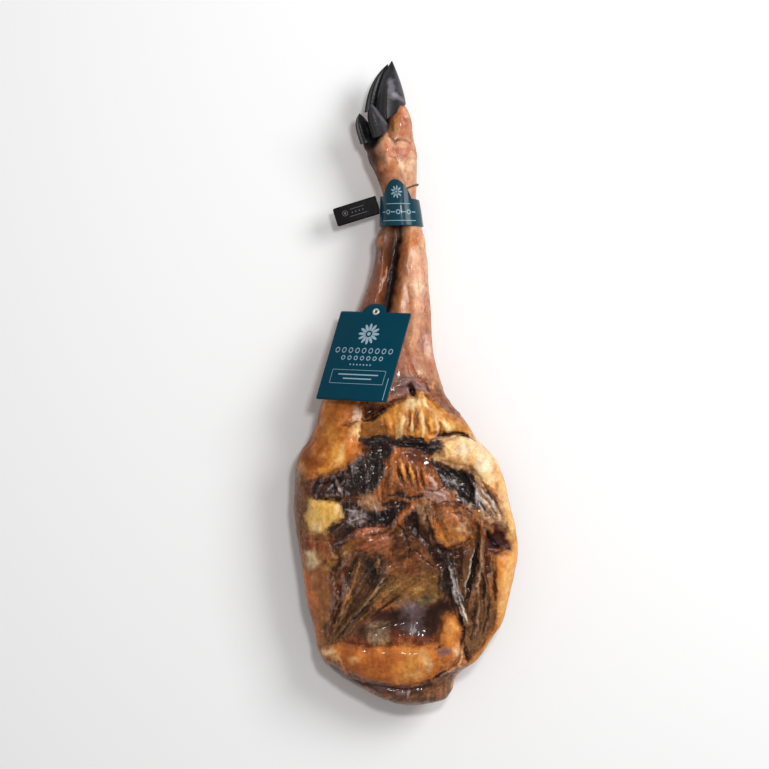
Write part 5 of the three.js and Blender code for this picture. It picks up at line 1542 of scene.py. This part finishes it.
def weather(paint, normals, edges):
    """Adds fibres, blotches, painted glints on wet streaks, painted shade in crevices and broad
    valleys, and painted highlights on crests to colour and wetness.
    """
    points = paint.points
    crest, valley = crest_and_valley(points, normals, edges)
    bundles = paint.fibres(*BUNDLES)
    streaks = paint.fibres(*STREAKS)
    threads = paint.fibres(*THREADS)
    blotches = grain_noise(points, *BLOTCHES)
    light = step_between(paint.tint.mean(1), 0.03, 0.16)
    upper_skin = paint.on(skin=paint.face)
    # Each tone shows on a kind of tissue, where a noise passes through a range.
    for tone, share, noise, start, full in (
            ("tan", light * paint.on(meat=0.25), streaks, 0.2, 0.7),
            ("dark meat", paint.on(meat=0.35), -bundles, 0.08, 0.45),
            ("russet dark", paint.on(meat=0.25), blotches, 0.05, 0.4),
            ("lean red", paint.on(lean=0.55), blotches, 0, 0.4),
            ("lean slate", paint.on(lean=0.5), -blotches, 0.05, 0.4),
            ("salmon", light * paint.on(fat=0.2), -blotches, 0.12, 0.45),
            ("cream", light * paint.on(fat=0.16), blotches, 0.15, 0.5),
            ("salmon pink", 0.2 * light * upper_skin, -blotches, 0.1, 0.45),
            ("shank light", 0.16 * light * upper_skin, blotches, 0.12, 0.5)):
        paint.tone_in(tone, share * step_between(noise, start, full))
    swing = bundles * paint.on(lean=0.5, meat=0.25, fat=0.2)
    swing += threads * paint.on(lean=0.7, meat=0.3, fat=0.22)
    swing += grain_noise(points, *GRIT) * paint.on(lean=0.5, meat=0.42, fat=0.22, skin=0.12)
    paint.scale(np.exp(swing + 0.2 * blotches))
    # Painted shade darkens broad valleys, fat less than lean, and crevices, blue most and red
    # least; a painted highlight lightens crests.
    paint.scale(1 - 0.6 * valley * (1 - paint.on(fat=0.7)))
    crevice = np.clip(-crest, 0, 1)
    deep = as_column(crevice * (0.15 + paint.on(lean=0.55, meat=0.3))) * CREVICE_SHADE_TINT
    paint.tint = paint.tint * (1 - np.clip(deep, 0, 0.9))
    paint.scale(1 + 0.2 * np.clip(crest, 0, 1))
    pores = step_between(soft_noise(points, *PORES), 0.5, 0.75)
    pores = pores * step_between(paint.x, *PORES_START)
    paint.scale(1 - 0.6 * pores * upper_skin)
    # Painted glints: the silver tone laid where the streaks of wet lean reach crests.
    strands = step_between(streaks + 0.3 * threads, 0.5, 0.85) * step_between(crest, 0, 0.5)
    paint.tone_in("silver", 0.32 * strands * paint.on(lean=1, meat=0.1))
    paint.wet = paint.wet + (0.25 * bundles + 0.2 * crevice) * paint.on(lean=1, meat=1)


class HAM_OT_leg(bpy.types.Operator):
    """Model the leg with its cut face, shank and foot"""
    bl_idname = "ham.leg"
    bl_label = "Leg"

    def execute(self, context):
        piece = build_leg(context.scene.ham_sizes)
        finish_piece(piece, "ham", cured_meat_material(), "ham")
        return {"FINISHED"}


# Claws.

# Base, tip, slant of the base, half depth, half width, side of the cleft, and how blunt the
# front and the sole are.
CLAWS = {
    "claw_near": ((-14.5, 491, 51), (-14.3, 550, 46), 11, 17.5, 11, 1, 1.4, 2.8),
    "claw_far": ((-26.5, 495, 33), (-19, 547, 39), 1, 19.5, 11, -1, 1.4, 3.2),
    "dewclaw_near": ((-25.5, 468, 66), (-37, 499, 75), 6, 9.5, 7.5, 1, 3.6, 4.2),
    "dewclaw_far": ((-39, 459, 48), (-50, 491, 54), 2, 9.5, 7.5, -1, 3.6, 4.2),
}
# Section from the front edge over the outer wall and its rim to the hollow sole and back up the
# inner wall.
CLAW_SECTION = np.array([
    [-1, 0.05], [-0.8, 0.36], [-0.55, 0.62], [-0.25, 0.82], [0.05, 0.96], [0.4, 1.05],
    [0.68, 1.07], [0.75, 1.03], [0.76, 0.94], [0.72, 0.7], [0.76, 0.4], [0.82, 0.05],
    [0.86, -0.25], [0.96, -0.4], [0.97, -0.5], [0.9, -0.66], [0.72, -0.74], [0.4, -0.73],
    [0.1, -0.7], [-0.3, -0.58], [-0.6, -0.42], [-0.85, -0.2],
])
# Pale places of the horn: strength, half width and path. Those on the near claw and the near
# dewclaw are painted highlights of the lit horn; the two on the far claw are pale streaks.
HORN_WEAR_AND_HIGHLIGHTS = [
    (0.36, 4.8, [(-15.5, 524), (-15, 514), (-13, 510)]),
    (0.3, 2.8, [(-12, 511), (-6, 508), (-3, 506)]),
    (0.07, 7, [(-6, 535), (-5, 518)]), (0.05, 1, [(-38, 519), (-28, 536)]),
    (0.1, 1.4, [(-30, 510), (-21, 540)]), (0.16, 2, [(-36, 498), (-29, 487), (-20, 478)]),
    (0.05, 5, [(-24, 480), (-22, 472)]),
]
CLAW_SIDES = 132
CLAW_RINGS = 90
# Rings stand closer at the base by this power.
RING_CROWDING = 0.85
PLAIN_WEAR = 0.015
CLOUD_WEAR = 0.03
WEAR_BREAKS = 0.5
WEAR_FADE = (0.2, 1.4)
HORN_BREAKS = (4, 21)
HORN_CLOUDS = ((9, 20, 9), 15)
HORN_PITS = ((7, 16, 7), 9)
PIT_HEIGHT = 0.12
# Growth lines: height, radians for each millimetre, wandering, its noise, and where they end.
GROWTH_HEIGHT = 0.05
GROWTH_PITCH = 1.5
GROWTH_WANDER = 2
GROWTH_NOISE = (9, 3)
GROWTH_END = (505, 540)


def claw_surface(base, tip, slant, depth, width, side, front, sole):
    """Points of one claw by rings from the base to the tip, and how pale each is from rubbing and
    painted highlights.
    """
    around = np.arange(CLAW_SIDES) / CLAW_SIDES
    a, b = spline(np.vstack([CLAW_SECTION, CLAW_SECTION[:1]]), around).T
    # The first ring is drawn in to the middle of the base, and so closes it.
    share = as_column([0, *np.linspace(0, 1, CLAW_RINGS) ** RING_CROWDING])
    spread = as_column([0, *np.ones(CLAW_RINGS)])
    taper = 1 - share ** np.where(a < 0, front, sole)
    narrow = 1 - share ** ((front + sole) / 2)
    middle = np.array(base) + (np.array(tip) - np.array(base)) * share[..., None]
    points = np.broadcast_to(middle, (CLAW_RINGS + 1, CLAW_SIDES, 3)).copy()
    points[..., 1] -= spread * slant * a * (1 - share)
    points += PALMAR * (spread * a * depth * taper)[..., None]
    points += LATERAL * (spread * side * b * width * narrow)[..., None]
    flat = points.reshape(-1, 3)
    outward = flat - np.repeat(middle[:, 0], CLAW_SIDES, axis=0)
    length = np.linalg.norm(outward, axis=1, keepdims=True)
    outward = outward / np.maximum(length, 1e-6)
    y = flat[:, 1]
    lines = np.sin(GROWTH_PITCH * y + GROWTH_WANDER * soft_noise(flat, *GROWTH_NOISE))
    growth = GROWTH_HEIGHT * lines * (1 - step_between(y, *GROWTH_END))
    pits = PIT_HEIGHT * grain_noise(flat, *HORN_PITS)
    flat = flat + outward * as_column((growth + pits) * np.minimum(length[:, 0] / 3, 1))
    return flat, horn_wear_and_highlights(flat)


def horn_wear_and_highlights(points):
    """How pale the horn is at each point, from 0 to 1, by rubbing and by painted highlights."""
    broken = grain_noise(points, *HORN_BREAKS)
    wear_and_highlight = PLAIN_WEAR + CLOUD_WEAR * grain_noise(points, *HORN_CLOUDS)
    for strength, reach, path in HORN_WEAR_AND_HIGHLIGHTS:
        away = path_distance(points[:, 0], points[:, 1], path) / reach + WEAR_BREAKS * broken
        wear_and_highlight += strength * (1 - step_between(away, *WEAR_FADE))
    return np.clip(wear_and_highlight, 0, 1)


class HAM_OT_claws(bpy.types.Operator):
    """Model the claws and dewclaws"""
    bl_idname = "ham.claws"
    bl_label = "Claws"

    def execute(self, context):
        material = horn_material(context.scene.ham_colours.horn)
        faces = grid_faces(CLAW_RINGS + 1, CLAW_SIDES, closed_columns=True)
        for name, shape in CLAWS.items():
            points, wear_and_highlight = claw_surface(*shape)
            piece = piece_from("horn_" + name, points, faces)
            store_values(piece.data, "wear_and_highlight", wear_and_highlight)
            finish_piece(piece, "horn", material, name)
        return {"FINISHED"}


# Marks printed on the labels: small grids of points in the label's own plane, in millimetres.

INK_LIFT = 0.05
BAR_STEP = 1.2
DISC_RINGS = 4
DISC_SIDES = 40
# Parts of a rosette as shares of its radius: the dot, the ring of leaves, and half a leaf.
ROSETTE_DOT = 0.16
ROSETTE_RING = 0.62
ROSETTE_LEAF = 0.34
# Width of a leaf as a share of its length.
LEAF_SQUASH = 0.36


def bar_mark(x, y, length, height, turn=0):
    """A straight bar about a middle point."""
    steps = max(2, int(length / BAR_STEP))
    along = np.linspace(-length / 2, length / 2, steps + 1)
    u, v = np.meshgrid(along, [-height / 2, height / 2], indexing="ij")
    u, v = turned(u.ravel(), v.ravel(), turn)
    return np.column_stack([x + u, y + v]), grid_faces(steps + 1, 2)


def disc_mark(x, y, outer, inner=0.0, squash=1.0, turn=0.0):
    """A disc, ring or leaf about a middle point."""
    around = np.linspace(0, 2 * np.pi, DISC_SIDES, False)
    radius, angle = np.meshgrid(np.linspace(inner, outer, DISC_RINGS), around, indexing="ij")
    u, v = (radius * np.cos(angle)).ravel(), (radius * np.sin(angle) * squash).ravel()
    u, v = turned(u, v, turn)
    return np.column_stack([x + u, y + v]), grid_faces(DISC_RINGS, DISC_SIDES, closed_columns=True)


def frame_marks(x, y, width, height, line):
    """Four bars round a rectangle."""
    upright = math.pi / 2
    level_bars = [bar_mark(x, y + side * height / 2, width, line) for side in (1, -1)]
    return level_bars + [bar_mark(x + side * width / 2, y, height, line, upright)
                         for side in (-1, 1)]


def rosette_marks(x, y, radius, petals):
    """A ring of leaves round a dot."""
    marks = [disc_mark(x, y, ROSETTE_DOT * radius)]
    for angle in (2 * math.pi * k / petals for k in range(petals)):
        u, v = turned(ROSETTE_RING * radius, 0, angle)
        marks.append(disc_mark(x + u, y + v, ROSETTE_LEAF * radius, 0, LEAF_SQUASH, angle))
    return marks


def print_piece(name, marks, place, material, slot):
    """Marks laid on a label's surface by its place function, as one thin piece."""
    points, faces = joined_grids(marks)
    finish_piece(piece_from(name, place(*points.T), faces), slot, material)


# The band round the wrist: y, middle x, half width and half depth, at its lower and upper edge.
BAND_LOW = np.array([367, -3.9, 23.5, 24.5])
BAND_HIGH = np.array([398, -5.9, 20.6, 22.6])
BAND_MIDDLE_Z = 44
BAND_THICK = 0.9
# How far the upper edge falls towards the right, as a share of the half width.
BAND_FALL = -0.1
# The raised tab of the upper edge: its height, and its middle and reach as turns round the wrist.
BAND_TAB = 19.5
BAND_TAB_AT = 1.74
BAND_TAB_REACH = 0.8
BAND_TAB_POWER = 0.8
# The ripple: height, waves round the wrist, slant, and where it fades in.
BAND_RIPPLE = 0.25
BAND_RIPPLE_WAVES = 3
BAND_RIPPLE_SLANT = 0.12
BAND_RIPPLE_START = (368, 390)
BAND_SIDES = 220
BAND_RISERS = 48
# Turn round the wrist at which the middle of the print stands.
BAND_PRINT_AT = math.pi / 2 + 0.12
# Marks by millimetres across the band's front and by y.
BAND_MARKS = [
    *rosette_marks(-1, 404, 7.5, 9), bar_mark(0, 391, 30, 0.7), bar_mark(0, 372.5, 40, 0.7),
    *(disc_mark(x, 382, 2.6, 1.6) for x in (-12, 0, 12)),
    *(bar_mark(x, 382, 5, 1.0) for x in (-18.5, -6, 6, 18.5)),
]


def band_points(turn, y, grow):
    """Points of the band's surface at a turn round the wrist and a height along it."""
    share = (y - BAND_LOW[0]) / (BAND_HIGH[0] - BAND_LOW[0])
    middle, half_width, half_depth = (low + (high - low) * share
                                      for low, high in zip(BAND_LOW[1:], BAND_HIGH[1:]))
    wave = np.sin(BAND_RIPPLE_WAVES * turn + BAND_RIPPLE_SLANT * y)
    ripple = BAND_RIPPLE * wave * step_between(y, *BAND_RIPPLE_START)
    x = middle + (half_width + grow + ripple) * np.cos(turn)
    return np.stack([x, y, BAND_MIDDLE_Z + (half_depth + grow + ripple) * np.sin(turn)], axis=-1)


def band_top(turn):
    """Height of the band's upper edge, with the tab."""
    q = np.minimum(1, np.abs(turn - BAND_TAB_AT) / BAND_TAB_REACH)
    fall = BAND_FALL * BAND_HIGH[2] * np.cos(turn)
    return BAND_HIGH[0] + fall + BAND_TAB * (1 - q**2) ** BAND_TAB_POWER


def band_print(across, along):
    """Points just over the band's front."""
    return band_points(BAND_PRINT_AT - across / BAND_LOW[2], along, BAND_THICK + INK_LIFT)


class HAM_OT_band(bpy.types.Operator):
    """Model the printed band round the wrist"""
    bl_idname = "ham.band"
    bl_label = "Wrist Band"

    def execute(self, context):
        colours = context.scene.ham_colours
        up = np.linspace(0, 1, BAND_RISERS)
        share = as_column([*up, *up[::-1]])
        grow = as_column(np.repeat([0, BAND_THICK], BAND_RISERS))
        turn = np.linspace(0, 2 * np.pi, BAND_SIDES, False)
        y = BAND_LOW[0] + (band_top(turn) - BAND_LOW[0]) * share
        faces = grid_faces(2 * BAND_RISERS, BAND_SIDES, closed_rows=True, closed_columns=True)
        piece = piece_from("printed_band", band_points(turn, y, grow).reshape(-1, 3), faces)
        material = printed_material("Teal Band", colours.band, 0.3, coat=0.3)
        finish_piece(piece, "print", material, "wrist_band")
        ink = printed_material("Band Ink", colours.ink, 0.35)
        print_piece("band_ink", BAND_MARKS, band_print, ink, "print")
        return {"FINISHED"}


# The black strip: middle of its free end and of its root, width, thickness, corners and bow.
STRIP_END = np.array([-77, 377, 37.0])
STRIP_ROOT = np.array([-29.5, 391.8, 37.0])
STRIP_WIDTH = 20.5
STRIP_THICK = 0.8
STRIP_CORNER = 2.2
STRIP_BOW = 1.2
STRIP_COLUMNS = 90
STRIP_ROWS = 12
# Columns stand closer at the rounded end by this power.
STRIP_CROWDING = 1.6
STRIP_TO_BAND = 0.3
STRIP_LENGTH = np.linalg.norm(STRIP_ROOT - STRIP_END)
STRIP_BLACK = shade(20, 18, 18)
STRIP_INK = shade(104, 102, 104)
# Marks by millimetres along the strip and across it.
STRIP_MARKS = [
    disc_mark(12, 1.5, 3.1, 2.6), disc_mark(12, 1.5, 1.2), bar_mark(26, 4.2, 16, 0.5),
    bar_mark(26, -3.6, 20, 0.5), *(disc_mark(20 + 4 * k, 0.3, 0.7) for k in range(4)),
]


def strip_place(along, across, lift):
    """Points of the strip from millimetres along it and across it."""
    run = (STRIP_ROOT - STRIP_END)[:2] / STRIP_LENGTH
    side = [-run[1], run[0]]
    flat = STRIP_END[:2] + np.multiply.outer(along, run) + np.multiply.outer(across, side)
    bow = STRIP_BOW * np.sin(np.pi * np.clip(along / STRIP_LENGTH, 0, 1))
    return np.column_stack([flat, STRIP_END[2] + bow + lift])


def strip_print(along, across):
    """Points just over the strip's upper face."""
    return strip_place(along, across, STRIP_THICK / 2 + INK_LIFT)


def thin_sheet(place, along, low, high, thick, rows):
    """A thin closed sheet from the values along it and its two edges at each of them."""
    columns = len(along)
    across = low + (high - low) * as_column(np.linspace(0, 1, rows))
    along = np.broadcast_to(along, across.shape)
    upper = place(along.ravel(), across.ravel(), thick / 2)
    lower = place(along[::-1].ravel(), across[::-1].ravel(), -thick / 2)
    first_end = [[r * columns for r in (row, row + 1, 2 * rows - 2 - row, 2 * rows - 1 - row)]
                 for row in range(rows - 1)]
    last_end = [[corner + columns - 1 for corner in reversed(quad)] for quad in first_end]
    faces = [*grid_faces(2 * rows, columns, closed_rows=True), *first_end, *last_end]
    return np.vstack([upper, lower]), faces


def rounded_end(distance, radius):
    """How far a rounded corner cuts into an edge at a distance from the end."""
    inset = np.clip(radius - distance, 0, radius)
    return radius - np.sqrt(np.maximum(radius**2 - inset**2, 0))


class HAM_OT_strip(bpy.types.Operator):
    """Model the stiff black strip beside the band"""
    bl_idname = "ham.strip"
    bl_label = "Black Strip"

    def execute(self, context):
        along = STRIP_LENGTH * np.linspace(0, 1, STRIP_COLUMNS) ** STRIP_CROWDING
        edge = STRIP_WIDTH / 2 - rounded_end(along, STRIP_CORNER)
        points, faces = thin_sheet(strip_place, along, -edge, edge, STRIP_THICK, STRIP_ROWS)
        # The root end is cut to the band's side, so that it meets it without going in.
        band_side = band_points(np.pi, points[:, 1], BAND_THICK + STRIP_TO_BAND)[:, 0]
        points[:, 0] = np.minimum(points[:, 0], band_side)
        piece = piece_from("strip_of_black", points, faces)
        material = printed_material("Black Strip", STRIP_BLACK, 0.46, rub=0.08)
        finish_piece(piece, "strip", material, "black_strip")
        ink = printed_material("Strip Ink", STRIP_INK, 0.5)
        print_piece("strip_ink", STRIP_MARKS, strip_print, ink, "strip")
        return {"FINISHED"}


# The tie round the wrist: y at its right and left, thickness, clearance to the leg, and fineness.
TIE_RIGHT_Y = 413.5
TIE_LEFT_Y = 394
TIE_THICK = 1.8
TIE_CLEAR = 0.7
TIE_STEPS = 420
TIE_TWISTS = 46
TIE_SIDES = 10
# How much wider a strand is than half of the tie, so that the two join.
STRAND_OVERLAP = 1.12
# The wrist's stations begin here.
WRIST_STATION = 24


def tie_route(turn):
    """Middle of the tie at a turn round the wrist."""
    rightward = (1 + np.cos(turn)) / 2
    y = TIE_LEFT_Y + (TIE_RIGHT_Y - TIE_LEFT_Y) * rightward
    wrist = np.arange(WRIST_STATION, len(STATIONS))
    along = np.interp(y, STATIONS[wrist, 1], wrist) / (len(STATIONS) - 1)
    left, _, right, _, under, over, left_rim, right_rim = spline(STATIONS, along).T
    rim = left_rim + (right_rim - left_rim) * rightward
    reach = TIE_CLEAR + TIE_THICK / 2
    half_width = (right - left) / 2 + reach
    rise = np.where(np.sin(turn) > 0, over - rim, rim - under) + reach
    x = (left + right) / 2 + half_width * np.cos(turn)
    return np.column_stack([x, y, rim + rise * np.sin(turn)])


class HAM_OT_tie(bpy.types.Operator):
    """Model the twisted tie round the wrist"""
    bl_idname = "ham.tie"
    bl_label = "Wrist Tie"

    def execute(self, context):
        turn = np.linspace(0, 2 * np.pi, TIE_STEPS, False)
        route = tie_route(turn)
        ahead = unit(np.roll(route, -1, axis=0) - np.roll(route, 1, axis=0))
        outward = route - route.mean(0)
        outward = unit(outward - ahead * as_column((outward * ahead).sum(1)))
        side = np.cross(ahead, outward)
        ring = np.linspace(0, 2 * np.pi, TIE_SIDES, False)[None, :, None]
        hoop = outward[:, None] * np.cos(ring) + side[:, None] * np.sin(ring)
        radius = TIE_THICK / 4
        strands = []
        for start in (0, math.pi):
            twist = as_column(TIE_TWISTS * turn + start)
            middle = route + radius * (outward * np.cos(twist) + side * np.sin(twist))
            tube = middle[:, None] + STRAND_OVERLAP * radius * hoop
            strands.append((tube.reshape(-1, 3), grid_faces(TIE_STEPS, TIE_SIDES, True, True)))
        piece = piece_from("wrist_twine", *joined_grids(strands))
        finish_piece(piece, "twine", twine_material(), "wrist_tie")
        return {"FINISHED"}


# The hanging card: top left corner, its edges across and down, thickness, bow and corner radius.
CARD_CORNER = np.array([-70, 273.5, 44.0])
CARD_ACROSS = np.array([76.5, -3.5, 37.0])
CARD_DOWN = np.array([-27, -96, 32.0])
CARD_THICK = 1.2
CARD_BOW = 5
CARD_ROUND = 1.6
CARD_COLUMNS = 161
CARD_ROWS = 40
CARD_WIDTH = np.linalg.norm(CARD_ACROSS)
CARD_HEIGHT = np.linalg.norm(CARD_DOWN)
CARD_NORMAL = unit(np.cross(CARD_DOWN, CARD_ACROSS))
# The tab, as shares of the width and the height.
TAB_ACROSS = 0.475
TAB_REACH = 0.165
TAB_RISE = 0.095
TAB_POWER = 2.2
# The eyelet: its place as shares, radii, half thickness, and how far its rolls rise.
EYELET_ACROSS = 0.5
EYELET_DOWN = -0.005
EYELET_OUTER = 3.9
EYELET_INNER = 1.7
EYELET_HALF = 0.45
EYELET_FACE_ROLL = 0.75
EYELET_BACK_ROLL = 0.5
EYELET_OVER_HOLE = 0.4
EYELET_SIDES = 64
ROLL_STEPS = 12
HOLE_REACH = 4
HOLE_SIDES = 48
# Marks by millimetres across the card and down it.
CARD_MIDDLE = 0.49 * CARD_WIDTH
CARD_MARKS = [
    *rosette_marks(CARD_MIDDLE, 0.25 * CARD_HEIGHT, 13, 12),
    *(disc_mark(CARD_MIDDLE + 8 * k, 0.44 * CARD_HEIGHT, 2.6, 1.8, 1.25) for k in range(-4, 5)),
    *(disc_mark(CARD_MIDDLE + 7.6 * k, 0.525 * CARD_HEIGHT, 2.4, 1.5, 1.1) for k in range(-3, 4)),
    *(disc_mark(CARD_MIDDLE + 4 * k, 0.6 * CARD_HEIGHT, 0.9) for k in range(-3, 4)),
    *frame_marks(CARD_MIDDLE + 1, 0.737 * CARD_HEIGHT, 64, 16, 0.45),
    bar_mark(CARD_MIDDLE + 1, 0.712 * CARD_HEIGHT, 48, 1.4),
    bar_mark(CARD_MIDDLE + 1, 0.758 * CARD_HEIGHT, 34, 1.4),
    bar_mark(0.94 * CARD_WIDTH, 0.86 * CARD_HEIGHT, 26, 0.7, math.pi / 2),
]


def card_lift():
    """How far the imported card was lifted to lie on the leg."""
    corner = np.array(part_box("hang_tag")[0]) / MM
    return corner[2] - CARD_CORNER[2] + CARD_THICK / 2 * abs(CARD_NORMAL[2])


def card_points(across, down, lift):
    """Points of the card from shares of the way across and down it."""
    flat = CARD_CORNER + np.multiply.outer(across, CARD_ACROSS) + np.multiply.outer(down, CARD_DOWN)
    flat[..., 2] += CARD_BOW * (1 - (2 * across - 1) ** 2) + card_lift()
    return flat + lift * CARD_NORMAL


def card_print(across, down):
    """Points just over the card's face."""
    return card_points(across / CARD_WIDTH, down / CARD_HEIGHT, CARD_THICK / 2 + INK_LIFT)


def card_sheet():
    """The card with its rounded corners and its tab, as points and faces."""
    across = np.linspace(0, 1, CARD_COLUMNS)
    to_side = np.minimum(across, 1 - across) * CARD_WIDTH
    corner = rounded_end(to_side, CARD_ROUND) / CARD_HEIGHT
    q = np.minimum(1, np.abs(across - TAB_ACROSS) / TAB_REACH)
    top = corner - TAB_RISE * np.sqrt(1 - q**TAB_POWER)
    return thin_sheet(card_points, across, top, 1 - corner, CARD_THICK, CARD_ROWS)


def turned_on_card(name, profile, sides):
    """A piece turned about the eyelet's axis from a profile of radii and heights."""
    middle = card_points(np.array([EYELET_ACROSS]), np.array([EYELET_DOWN]), 0)[0]
    to_card = np.array(Vector((0, 0, 1)).rotation_difference(Vector(CARD_NORMAL)).to_matrix())
    angle = np.linspace(0, 2 * np.pi, sides, False)
    radius, z = np.array(profile, float).T
    points = np.stack([np.outer(radius, np.cos(angle)), np.outer(radius, np.sin(angle)),
                       np.outer(z, np.ones(sides))], axis=-1).reshape(-1, 3)
    faces = grid_faces(len(profile), sides, closed_columns=True)
    piece = piece_from(name, points @ to_card.T + middle, faces)
    add_modifier(piece, "WELD", merge_threshold=0.001 * MM)
    bake_modifiers(piece)
    return piece


def cut_eyelet_hole(piece):
    """Cuts the hole that the eyelet sits in."""
    radius = EYELET_OUTER - EYELET_OVER_HOLE
    profile = [(0, -HOLE_REACH), (radius, -HOLE_REACH), (radius, HOLE_REACH), (0, HOLE_REACH)]
    cutter = turned_on_card("hole_cutter", profile, HOLE_SIDES)
    add_modifier(piece, "BOOLEAN", object=cutter, operation="DIFFERENCE", solver="EXACT")
    bake_modifiers(piece)
    bpy.data.objects.remove(cutter)


def eyelet_profile():
    """A rolled ring with a rounded flange on the face and a flat one behind."""
    flange = np.linspace(0, np.pi, ROLL_STEPS)
    middle = (EYELET_OUTER + EYELET_INNER) / 2
    half = (EYELET_OUTER - EYELET_INNER) / 2
    radius = half * np.cos(flange)
    rise = np.sin(flange)
    face = np.column_stack([middle + radius, EYELET_HALF + EYELET_FACE_ROLL * rise])
    back = np.column_stack([middle - radius, -EYELET_HALF - EYELET_BACK_ROLL * rise])
    return [*face, *back, face[0]]


class HAM_OT_card(bpy.types.Operator):
    """Model the hanging card and its eyelet"""
    bl_idname = "ham.card"
    bl_label = "Hanging Card"

    def execute(self, context):
        colours = context.scene.ham_colours
        piece = piece_from("teal_card", *card_sheet())
        cut_eyelet_hole(piece)
        material = printed_material("Teal Card", colours.label, 0.4, coat=0.06)
        finish_piece(piece, "card", material, "hang_tag")
        ink = printed_material("Card Ink", colours.ink, 0.4)
        print_piece("card_ink", CARD_MARKS, card_print, ink, "card")
        ring = turned_on_card("eyelet_ring", eyelet_profile(), EYELET_SIDES)
        finish_piece(ring, "metal", eyelet_material(), "eyelet")
        return {"FINISHED"}


# The studio. What the picture shows is measured in the plane of the cut face.

PHOTO_CENTRE = (-22.55 * MM, 193.05 * MM)
PHOTO_WIDTH = 845.9 * MM
PHOTO_PLANE = 50 * MM
SENSOR_WIDTH = 36
FLOOR_WHITE = (0.97, 0.97, 0.97, 1)
SKY_WHITE = (1, 1, 1, 1)
SKY_STRENGTH = 0.36
LIT_PLACE = (0, 0.15, 0.05)
# Square lights: place and width in metres, and power in watts.
LIGHTS = {
    "key_from_the_right": ((1.4, 1.1, 1.7), 1.1, 34),
    "sparkle_overhead": ((0.25, 0.6, 2.2), 0.2, 13),
}


def add_floor(width):
    """A pale level floor about the middle of the frame."""
    half = width / 2 / MM
    corners = [(-half, -half, 0), (half, -half, 0), (half, half, 0), (-half, half, 0)]
    floor = piece_from("floor", corners, [(0, 1, 2, 3)], smooth=False)
    material, tree, surface = new_material("Pale Floor")
    set_inputs(tree, surface, {"Base Color": FLOOR_WHITE, "Roughness": 0.9})
    floor.data.materials.append(material)


def add_sky(scene):
    """Even light from all sides."""
    scene.world = bpy.data.worlds.new("Studio")
    scene.world.use_nodes = True
    tree = scene.world.node_tree
    set_inputs(tree, tree.nodes["Background"], {"Color": SKY_WHITE, "Strength": SKY_STRENGTH})


def add_light(name, place, width, watts):
    """A square light that faces the middle of the ham."""
    light = bpy.data.lights.new(name, "AREA")
    light.shape = "RECTANGLE"
    light.size = light.size_y = width
    light.energy = watts
    lamp = bpy.data.objects.new(name, light)
    bpy.context.scene.collection.objects.link(lamp)
    lamp.location = place
    lamp.rotation_euler = (Vector(LIT_PLACE) - lamp.location).to_track_quat("-Z", "Y").to_euler()


def add_camera(scene, distance):
    """A camera straight above that shows what the photograph shows."""
    lens = bpy.data.cameras.new("camera")
    lens.sensor_width = SENSOR_WIDTH
    lens.lens = SENSOR_WIDTH * distance / PHOTO_WIDTH
    camera = bpy.data.objects.new("camera", lens)
    scene.collection.objects.link(camera)
    camera.location = (*PHOTO_CENTRE, PHOTO_PLANE + distance)
    scene.camera = camera
    scene.view_settings.view_transform = "Standard"
    scene.view_settings.look = "None"


class HAM_OT_stage(bpy.types.Operator):
    """Set up the floor, the lights and the camera"""
    bl_idname = "ham.stage"
    bl_label = "Stage"

    def execute(self, context):
        sizes = context.scene.ham_sizes
        add_floor(sizes.stage_width)
        add_sky(context.scene)
        for name, light in LIGHTS.items():
            add_light(name, *light)
        add_camera(context.scene, sizes.camera_distance)
        return {"FINISHED"}


OPERATORS = (HAM_OT_stage, HAM_OT_leg, HAM_OT_claws, HAM_OT_band, HAM_OT_strip, HAM_OT_tie,
             HAM_OT_card)


class HAM_PT_sidebar(bpy.types.Panel):
    """Sizes, colours and pieces of the ham"""
    bl_idname = "HAM_PT_sidebar"
    bl_label = "Cured Shoulder Ham"
    bl_space_type = "VIEW_3D"
    bl_region_type = "UI"
    bl_category = "Ham"

    def draw(self, context):
        for settings in (context.scene.ham_sizes, context.scene.ham_colours):
            for name in settings.__annotations__:
                self.layout.prop(settings, name)
        for operator in OPERATORS:
            self.layout.operator(operator.bl_idname)


CLASSES = (HamColours, HamSizes, *OPERATORS, HAM_PT_sidebar)


def register():
    for cls in CLASSES:
        bpy.utils.register_class(cls)
    bpy.types.Scene.ham_colours = PointerProperty(type=HamColours)
    bpy.types.Scene.ham_sizes = PointerProperty(type=HamSizes)


def unregister():
    del bpy.types.Scene.ham_sizes
    del bpy.types.Scene.ham_colours
    for cls in reversed(CLASSES):
        bpy.utils.unregister_class(cls)


def main():
    register()
    bpy.ops.ham.stage()
    bpy.ops.ham.leg()
    bpy.ops.ham.claws()
    bpy.ops.ham.band()
    bpy.ops.ham.strip()
    bpy.ops.ham.tie()
    bpy.ops.ham.card()


if __name__ == "__main__":
    main()
